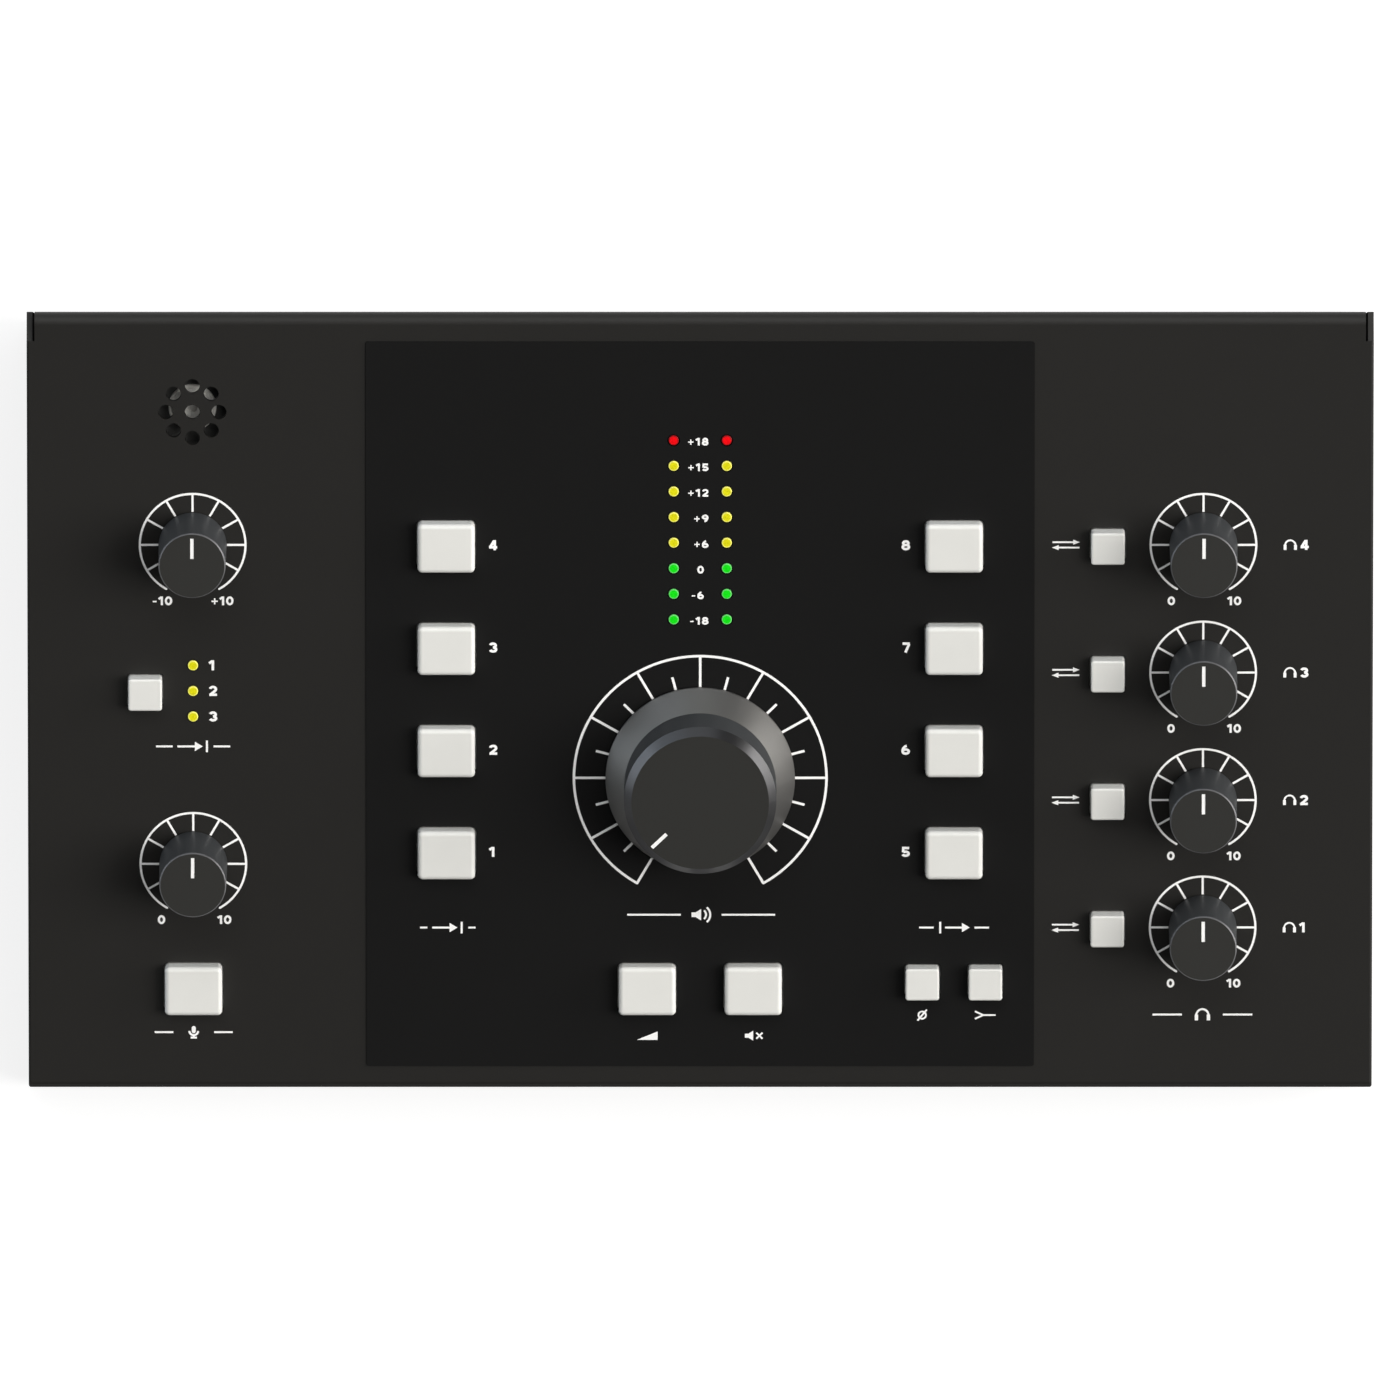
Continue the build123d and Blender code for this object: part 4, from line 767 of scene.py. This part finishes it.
class CONTROLLER_OT_case(ControllerOperator, bpy.types.Operator):
    """Coat the folded cover, the base plate and the rear panel, and film the middle of the deck"""

    bl_idname = "controller.case"
    bl_label = "Case"

    def execute(self, context):
        deck, panel, fascia = (self.colours[name] for name in ("deck", "panel", "fascia"))
        coat = coated_steel("deck_coat", deck, grain=0.45, depth=0.012, roughness=0.5, specular=0.33)
        dress(coat, "top_cover")
        coat = coated_steel("panel_coat", panel, grain=0.5, depth=0.02, roughness=0.55)
        dress(coat, "base_plate", "rear_panel")
        film = coated_steel("fascia_film", fascia, grain=0.25, depth=0.004, roughness=0.6, specular=0.14)
        dress(film, "centre_fascia")
        return {"FINISHED"}


class CONTROLLER_OT_hardware(ControllerOperator, bpy.types.Operator):
    """Finish the feet, the screws, the spacers, and the boards with their controls and switches"""

    bl_idname = "controller.hardware"
    bl_label = "Feet, screws and boards"

    def execute(self, context):
        dress(rubber("foot_rubber", self.colours["rubber"]), "rubber_feet")
        dress(turned_metal("black_zinc", srgb(58, 58, 62), 0.38), "m3_screws")
        dress(turned_metal("spacer_nickel", srgb(196, 186, 160), 0.3), "board_standoffs")
        dress(circuit_board("solder_mask"), "control_board", "connector_board")
        body = moulded_plastic("control_body", srgb(34, 34, 36), 0.5)
        dress(body, "main_encoder", "level_pots", "large_switches", "small_switches")
        return {"FINISHED"}


class CONTROLLER_OT_caps(ControllerOperator, bpy.types.Operator):
    """Finish the push-button caps"""

    bl_idname = "controller.caps"
    bl_label = "Push-button caps"

    def execute(self, context):
        plastic = moulded_plastic("cap_plastic", self.colours["cap"], 0.32, specular=0.5, depth=0.003)
        dress(plastic, *LARGE_BUTTONS, *SMALL_BUTTONS)
        return {"FINISHED"}


# a pointer's start and end from its knob's axis, and its width
SMALL_POINTER = 1.5, 5.85, 0.72
MAIN_POINTER = 9.7, 13.9, 0.78
MAIN_POINTER_TURN = 134  # degrees anticlockwise from straight up
POINTER_GROOVE = 0.25  # its depth


class CONTROLLER_OT_knobs(ControllerOperator, bpy.types.Operator):
    """Finish the knobs and their shafts, and fill the pointers"""

    bl_idname = "controller.knobs"
    bl_label = "Knobs"

    def execute(self, context):
        colours = self.colours
        plastic = small_knob("knob_plastic", colours["knob_top"], colours["knob_side"])
        dress(plastic, *(f"{name}_knob" for name in SMALL_KNOBS))
        metal = main_knob("main_knob_finish", colours["knob_top"], colours["skirt"], colours["shoulder"])
        dress(metal, "main_knob")
        steel = turned_metal("shaft_steel", srgb(190, 190, 188), 0.3)
        dress(steel, "main_shaft", *(f"{name}_shaft" for name in SMALL_KNOBS))
        for name, place in KNOBS.items():
            self.pointer(name, "knob_plastic", place, 0, *SMALL_POINTER)
        self.pointer("main", "main_knob_metal", (0, 0), MAIN_POINTER_TURN, *MAIN_POINTER)
        return {"FINISHED"}

    def pointer(self, name, slot, place, turn, start, end, width):
        """White paint in a knob's pointer groove, a little below its top."""
        sheet = Sheet(deck_box(f"{name}_knob")[1].z - POINTER_GROOVE, POINTER_GROOVE * INK_STEP)
        sheet.stroke((polar(place, start, turn), polar(place, end, turn)), width)
        sheet.piece(f"{name}_pointer", self.white(), f"{name}_knob", slot)


# degrees: a scale's reach either side of straight up, and its steps
SCALE_REACH = 150
SMALL_TICK_REACH = 120
TICK_STEP = 30
RING_STEP = 2


class CONTROLLER_OT_scales(ControllerOperator, bpy.types.Operator):
    """Print the ring and the ticks round each knob"""

    bl_idname = "controller.scales"
    bl_label = "Dial scales"

    def execute(self, context):
        sizes = self.sizes
        turns = range(-SMALL_TICK_REACH, SMALL_TICK_REACH + 1, TICK_STEP)
        ticks = [(turn, sizes["tick_start"], sizes["ring"]) for turn in turns]
        for name, place in KNOBS.items():
            self.scale(name, place, sizes["ring"], sizes["ring_line"], ticks, "case_paint")
        start, short, full = sizes["main_tick_start"], sizes["short_tick_end"], sizes["main_ring"]
        turns = range(-SCALE_REACH, SCALE_REACH + 1, TICK_STEP // 2)
        ticks = [(turn, start, short if turn % TICK_STEP else full) for turn in turns]
        self.scale("main", (0, 0), full, sizes["main_ring_line"], ticks, "fascia_film")
        return {"FINISHED"}

    def scale(self, name, place, radius, line, ticks, slot):
        """A ring that is open below, and its ticks, each a turn, a start and an end."""
        sheet = self.sheet(place[0])
        turns = range(-SCALE_REACH, SCALE_REACH + 1, RING_STEP)
        sheet.stroke(tuple(polar(place, radius, turn) for turn in turns), line, rounded=True)
        for turn, start, end in ticks:
            sheet.stroke((polar(place, start, turn), polar(place, end, turn)), line, layer=INK_STEP)
        sheet.piece(f"{name}_scale", self.white(), "case", slot)


# the meter's numbers from the top, each with the x of its right-hand end
METER_MARKS = [
    ("+18", 1.7),
    ("+15", 1.7),
    ("+12", 1.7),
    ("+9", 1.7),
    ("+6", 1.7),
    ("0", 0.75),
    ("-6", 0.75),
    ("-18", 1.7),
]
METER_MARK_DROP = 0.26  # of the numbers below their lamps' row
METER_DIGIT_GAP = 0.27
DIAL_NUMBER_DROP = 12.03  # of the numbers at a small dial's ends, below its axis
# the numbers at a dial's ends, each with the x of its middle from the dial's axis
DIAL_ENDS = [("0", -6.64), ("10", 6.43)]
CENTRED_DIAL_ENDS = [("-10", -6.3), ("+10", 6.15)]


class CONTROLLER_OT_numbers(ControllerOperator, bpy.types.Operator):
    """Print the plain numbers at the dials and the meter"""

    bl_idname = "controller.numbers"
    bl_label = "Dial and meter numbers"

    def execute(self, context):
        sheet = self.sheet(KNOBS["mic_gain"][0])
        for name, (x, v) in KNOBS.items():
            for text, offset in CENTRED_DIAL_ENDS if name == "mic_gain" else DIAL_ENDS:
                sheet.number(text, (x + offset, v - DIAL_NUMBER_DROP), self.sizes["digit"])
        sheet.piece("dial_numbers", self.white(), "case", "case_paint")
        sheet = self.sheet(0)
        for row, (text, right) in enumerate(METER_MARKS):
            v = METER_TOP - METER_PITCH * row - METER_MARK_DROP
            sheet.number(text, (right, v), self.sizes["meter_digit"], align=1, gap=METER_DIGIT_GAP)
        sheet.piece("meter_numbers", self.white(), "case", "fascia_film")
        return {"FINISHED"}


# x of the numbers beside the select buttons, at their ends next to the buttons
LEFT_MARK_X, RIGHT_MARK_X = -43.8, 43.5
LEFT_SELECT = ["source_1_button", "source_2_button", "alt_source_button", "cue_button"]
RIGHT_SELECT = ["main_button", "alt_1_button", "alt_2_button", "sub_button"]
PHONES = ["phones_1", "phones_2", "phones_3", "phones_4"]
# x of what is printed at the headphone knobs, from the knob's axis
PHONES_SIGN_X, PHONES_NUMBER_X, CHOICE_SIGN_X = 18.0, 20.1, -28.5
INPUT_NUMBER_X = 3.3  # start of the input lamps' numbers, from the lamps
# the sign below a button on the fascia: its button, and how far it is below the button's middle
FASCIA_SIGNS = {
    "wedge": ("dim_button", 10.35),
    "silence": ("cut_button", 10.35),
    "flip": ("polarity_button", 7.4),
    "merge": ("mono_button", 7.4),
}
# sign, x, v and width of each group's heading
FASCIA_HEADINGS = [
    ("arrow_in", -52.4, -32.27, 11.5),
    ("arrow_out", 52.7, -32.27, 14.5),
    ("loudspeaker", 0.2, -29.5, 30.7),
]
DECK_HEADINGS = [
    ("arrow_in", -105.2, 6.7, 15.4),
    ("microphone", -105.2, -54.9, 16.2),
    ("headphones", 104.3, -51.1, 20.7),
]


class CONTROLLER_OT_marks(ControllerOperator, bpy.types.Operator):
    """Print the plain numbers and signs beside the buttons"""

    bl_idname = "controller.marks"
    bl_label = "Button numbers and signs"

    def execute(self, context):
        height, heading = self.sizes["mark"], self.sizes["heading"]
        sheet = self.sheet(0)
        for count, name in enumerate(LEFT_SELECT, 1):
            sheet.number(str(count), (LEFT_MARK_X, BUTTONS[name][1]), height, align=0)
        for count, name in enumerate(RIGHT_SELECT, 1 + len(LEFT_SELECT)):
            sheet.number(str(count), (RIGHT_MARK_X, BUTTONS[name][1]), height, align=1)
        for sign, (name, drop) in FASCIA_SIGNS.items():
            x, v = BUTTONS[name]
            sheet.sign(sign, (x, v - drop), height)
        for sign, x, v, width in FASCIA_HEADINGS:
            sheet.heading(sign, (x, v), heading, width)
        sheet.piece("fascia_marks", self.white(), "case", "fascia_film")

        sheet = self.sheet(KNOBS["mic_gain"][0])
        x, v = INPUT_LAMP
        for count, rise in enumerate((METER_PITCH, 0, -METER_PITCH), 1):
            sheet.number(str(count), (x + INPUT_NUMBER_X, v + rise), height, align=0)
        for count, name in enumerate(PHONES, 1):
            x, v = KNOBS[name]
            sheet.sign("headphones", (x + PHONES_SIGN_X, v), height)
            sheet.number(str(count), (x + PHONES_NUMBER_X, v), height, align=0)
            sheet.sign("choice", (x + CHOICE_SIGN_X, v), height)
        for sign, x, v, width in DECK_HEADINGS:
            sheet.heading(sign, (x, v), heading, width)
        sheet.piece("deck_marks", self.white(), "case", "case_paint")
        return {"FINISHED"}


class CONTROLLER_OT_lamps(ControllerOperator, bpy.types.Operator):
    """Light the lenses of the meter and of the input lamps"""

    bl_idname = "controller.lamps"
    bl_label = "Lamps"

    def execute(self, context):
        colours = self.colours
        for name in ("red", "yellow", "green"):
            dress(lit_lens(f"{name}_lens", colours[name], colours[f"{name}_rim"]), f"{name}_lenses")
        return {"FINISHED"}


class CONTROLLER_OT_microphone(ControllerOperator, bpy.types.Operator):
    """Finish the microphone's can and its rubber boot"""

    bl_idname = "controller.microphone"
    bl_label = "Microphone"

    def execute(self, context):
        dress(brushed_can("microphone_can", self.colours["capsule"]), "mic_capsule")
        dress(rubber("boot_rubber", self.colours["boot"]), "mic_boot")
        return {"FINISHED"}


SOCKET_NUMBER_DROP = 8.3  # of a rear number's middle below its socket's axis
ROCKER_MARK_OFFSET = 12.8  # of the on and off signs from the middle of the power rocker
ON_SIGN_REACH = 1.2  # from the middle of the on sign's stroke to its ends
OFF_SIGN_RADIUS = 1.1
ROCKER_SIGN_LINE = 0.5


class CONTROLLER_OT_sockets(ControllerOperator, bpy.types.Operator):
    """Finish the rear sockets, their nuts and the power switch, and number them"""

    bl_idname = "controller.sockets"
    bl_label = "Rear sockets"

    def execute(self, context):
        plastic = moulded_plastic("socket_plastic", self.colours["socket"], 0.45)
        dress(plastic, "line_jacks", "aux_jack", "coax_socket", "optical_socket")
        dress(plastic, "dc_inlet", "rocker_housing")
        dress(turned_metal("nut_nickel", srgb(205, 203, 198), 0.22), "jack_nuts", "dc_pin")
        dress(turned_metal("gold_flash", srgb(214, 176, 98), 0.25), "coax_shell")
        dress(moulded_plastic("rocker_gloss", srgb(16, 16, 17), 0.16), "power_rocker")

        # The sheet is seen from behind, so that x runs to the object's left, and z runs up.
        sheet = Sheet(0, self.sizes["ink"])
        mounts = [mount["pos_m"] for mount in frame["record"]["mounts"]]
        rows = sorted((z / MM, -x / MM) for x, _, z in mounts if z > 0)
        for count, (z, x) in enumerate(rows, 1):
            sheet.number(str(count), (x, z - SOCKET_NUMBER_DROP), self.sizes["rear_digit"])
        low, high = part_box("power_rocker")
        x, z = -(low.x + high.x) / 2 / MM, (low.z + high.z) / 2 / MM
        on, off = z + ROCKER_MARK_OFFSET, z - ROCKER_MARK_OFFSET
        sheet.stroke(((x, on - ON_SIGN_REACH), (x, on + ON_SIGN_REACH)), ROCKER_SIGN_LINE)
        sheet.stroke(loop((x, off), (OFF_SIGN_RADIUS, OFF_SIGN_RADIUS)), ROCKER_SIGN_LINE)
        face = Matrix.Translation((0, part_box("rear_panel")[1].y, 0))
        turned = Matrix(((-1, 0, 0), (0, 0, 1), (0, 1, 0))).to_4x4()
        to_rear = face @ turned @ Matrix.Diagonal((MM, MM, MM, 1))
        sheet.piece("rear_numbers", self.white(), "case", "panel_paint", to_rear)
        return {"FINISHED"}


# azimuth, elevation, width and height in degrees as seen from the object, and tint of each softbox
SOFTBOXES = {
    "key": (-5, 46, 30, 30, (1.0, 0.98, 0.95)),
    "high": (-10, 66, 24, 24, (1.0, 0.98, 0.95)),
    "overhead": (90, 62, 50, 30, (1.0, 1.0, 1.0)),
    "side": (12, 12, 43, 24, (1.0, 0.98, 0.95)),
    "cool": (162, 6, 44, 6, (0.82, 0.91, 1.0)),
    "far_cool": (125, 15, 34, 6, (0.82, 0.91, 1.0)),
    "rear": (90, 28, 34, 14, (0.92, 0.96, 1.0)),
}
LAMP_DISTANCE = 8.0  # metres from the middle of the case
FLOOR_REACH = 20  # half of the floor's side, in metres
FLOOR_TONE = (0.3, 0.3, 0.3)  # what the floor reflects; its glow makes up the rest to white
AIM_OFFSET = -0.045 * MM  # of the camera from the middle of the deck, to the left
HORIZON = 0.021  # sine of the angle either side of the horizon that is as white as the floor


class CONTROLLER_OT_studio(ControllerOperator, bpy.types.Operator):
    """Set up the camera, the floor, the softboxes and the even light"""

    bl_idname = "controller.studio"
    bl_label = "Studio"

    def execute(self, context):
        scene = context.scene
        studio = scene.controller_studio
        cover_low, cover_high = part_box("top_cover")
        middle = (cover_low + cover_high) / 2
        optics = bpy.data.cameras.new("camera")
        optics.lens = studio.lens
        optics.sensor_width = 36
        distance = studio.view_width * optics.lens / optics.sensor_width
        optics.clip_start, optics.clip_end = 1, 2 * distance
        camera = bpy.data.objects.new("camera", optics)
        camera.location = (middle.x + AIM_OFFSET, middle.y, DECK.translation.z + distance)
        scene.collection.objects.link(camera)
        scene.camera = camera

        plane = bmesh.new()
        bmesh.ops.create_grid(plane, x_segments=1, y_segments=1, size=FLOOR_REACH)
        mesh = bpy.data.meshes.new("floor")
        plane.to_mesh(mesh)
        plane.free()
        mesh.materials.append(self.floor_white(studio.floor_glow))
        floor = bpy.data.objects.new("floor", mesh)
        scene.collection.objects.link(floor)

        for name, (azimuth, elevation, width, height, tint) in SOFTBOXES.items():
            light = bpy.data.lights.new(name, "AREA")
            light.shape = "RECTANGLE"
            light.size = 2 * LAMP_DISTANCE * math.tan(math.radians(width) / 2)
            light.size_y = 2 * LAMP_DISTANCE * math.tan(math.radians(height) / 2)
            light.energy = math.pi * light.size * light.size_y * getattr(studio, name)
            light.color = tint
            turn, rise = math.radians(azimuth), math.radians(elevation)
            out = Vector((math.cos(rise) * math.cos(turn), math.cos(rise) * math.sin(turn), math.sin(rise)))
            lamp = bpy.data.objects.new(name, light)
            lamp.location = middle + LAMP_DISTANCE * out
            lamp.rotation_euler = (-out).to_track_quat("-Z", "Y").to_euler()
            scene.collection.objects.link(lamp)

        scene.world = bpy.data.worlds.new("studio")
        scene.world.use_nodes = True
        graph = Graph(scene.world.node_tree)
        direction = graph.node("TexCoord", output="Generated")
        rise = graph.node("SeparateXYZ", {}, {"Vector": direction}, output="Z")
        level = abs(rise) < HORIZON
        strength = studio.sky + (1 - studio.sky) * level
        graph.fill(graph.nodes["Background"], {"Color": (1.0, 1.0, 1.0), "Strength": strength})
        scene.view_settings.view_transform = "Standard"
        return {"FINISHED"}

    def floor_white(self, glow):
        """White where it is seen directly, mirrored or through glass, yet dimmed by the object's shadow."""
        finish = Finish("floor_white")
        finish.set({"Base Color": FLOOR_TONE, "Roughness": 0.9, "Specular IOR Level": 0.0})
        kinds = ("Is Camera Ray", "Is Glossy Ray", "Is Transmission Ray")
        rays = sum(finish.node("LightPath", output=kind) for kind in kinds)
        seen = finish.node("Math", {"operation": "MINIMUM"}, {0: rays, 1: 1})
        added = finish.node("Emission", {}, {"Strength": glow * seen})
        both = finish.node("AddShader", {}, {0: Wire(finish, finish.shader.outputs[0]), 1: added})
        finish.fill(finish.nodes["Material Output"], {"Surface": both})
        return finish.material


class CONTROLLER_PT_panel(bpy.types.Panel):
    """Lists the values and the operators"""

    bl_idname = "CONTROLLER_PT_panel"
    bl_label = "Monitor controller"
    bl_space_type = "VIEW_3D"
    bl_region_type = "UI"
    bl_category = "Controller"

    def draw(self, context):
        for key in GROUPS:
            group = getattr(context.scene, key)
            box = self.layout.box()
            for name in group.__annotations__:
                box.prop(group, name)
        for operator in OPERATORS:
            self.layout.operator(operator.bl_idname)


GROUPS = {
    "controller_colours": ControllerColours,
    "controller_print": ControllerPrint,
    "controller_studio": ControllerStudio,
}
OPERATORS = [
    CONTROLLER_OT_case,
    CONTROLLER_OT_hardware,
    CONTROLLER_OT_caps,
    CONTROLLER_OT_knobs,
    CONTROLLER_OT_scales,
    CONTROLLER_OT_numbers,
    CONTROLLER_OT_marks,
    CONTROLLER_OT_lamps,
    CONTROLLER_OT_microphone,
    CONTROLLER_OT_sockets,
    CONTROLLER_OT_studio,
]


def register():
    for cls in [*GROUPS.values(), *OPERATORS, CONTROLLER_PT_panel]:
        bpy.utils.register_class(cls)
    for name, group in GROUPS.items():
        setattr(bpy.types.Scene, name, PointerProperty(type=group))


def unregister():
    for name in GROUPS:
        delattr(bpy.types.Scene, name)
    for cls in [CONTROLLER_PT_panel, *reversed(OPERATORS), *GROUPS.values()]:
        bpy.utils.unregister_class(cls)


def main():
    register()
    for operator in OPERATORS:
        group, name = operator.bl_idname.split(".")
        getattr(getattr(bpy.ops, group), name)()


if __name__ == "__main__":
    main()
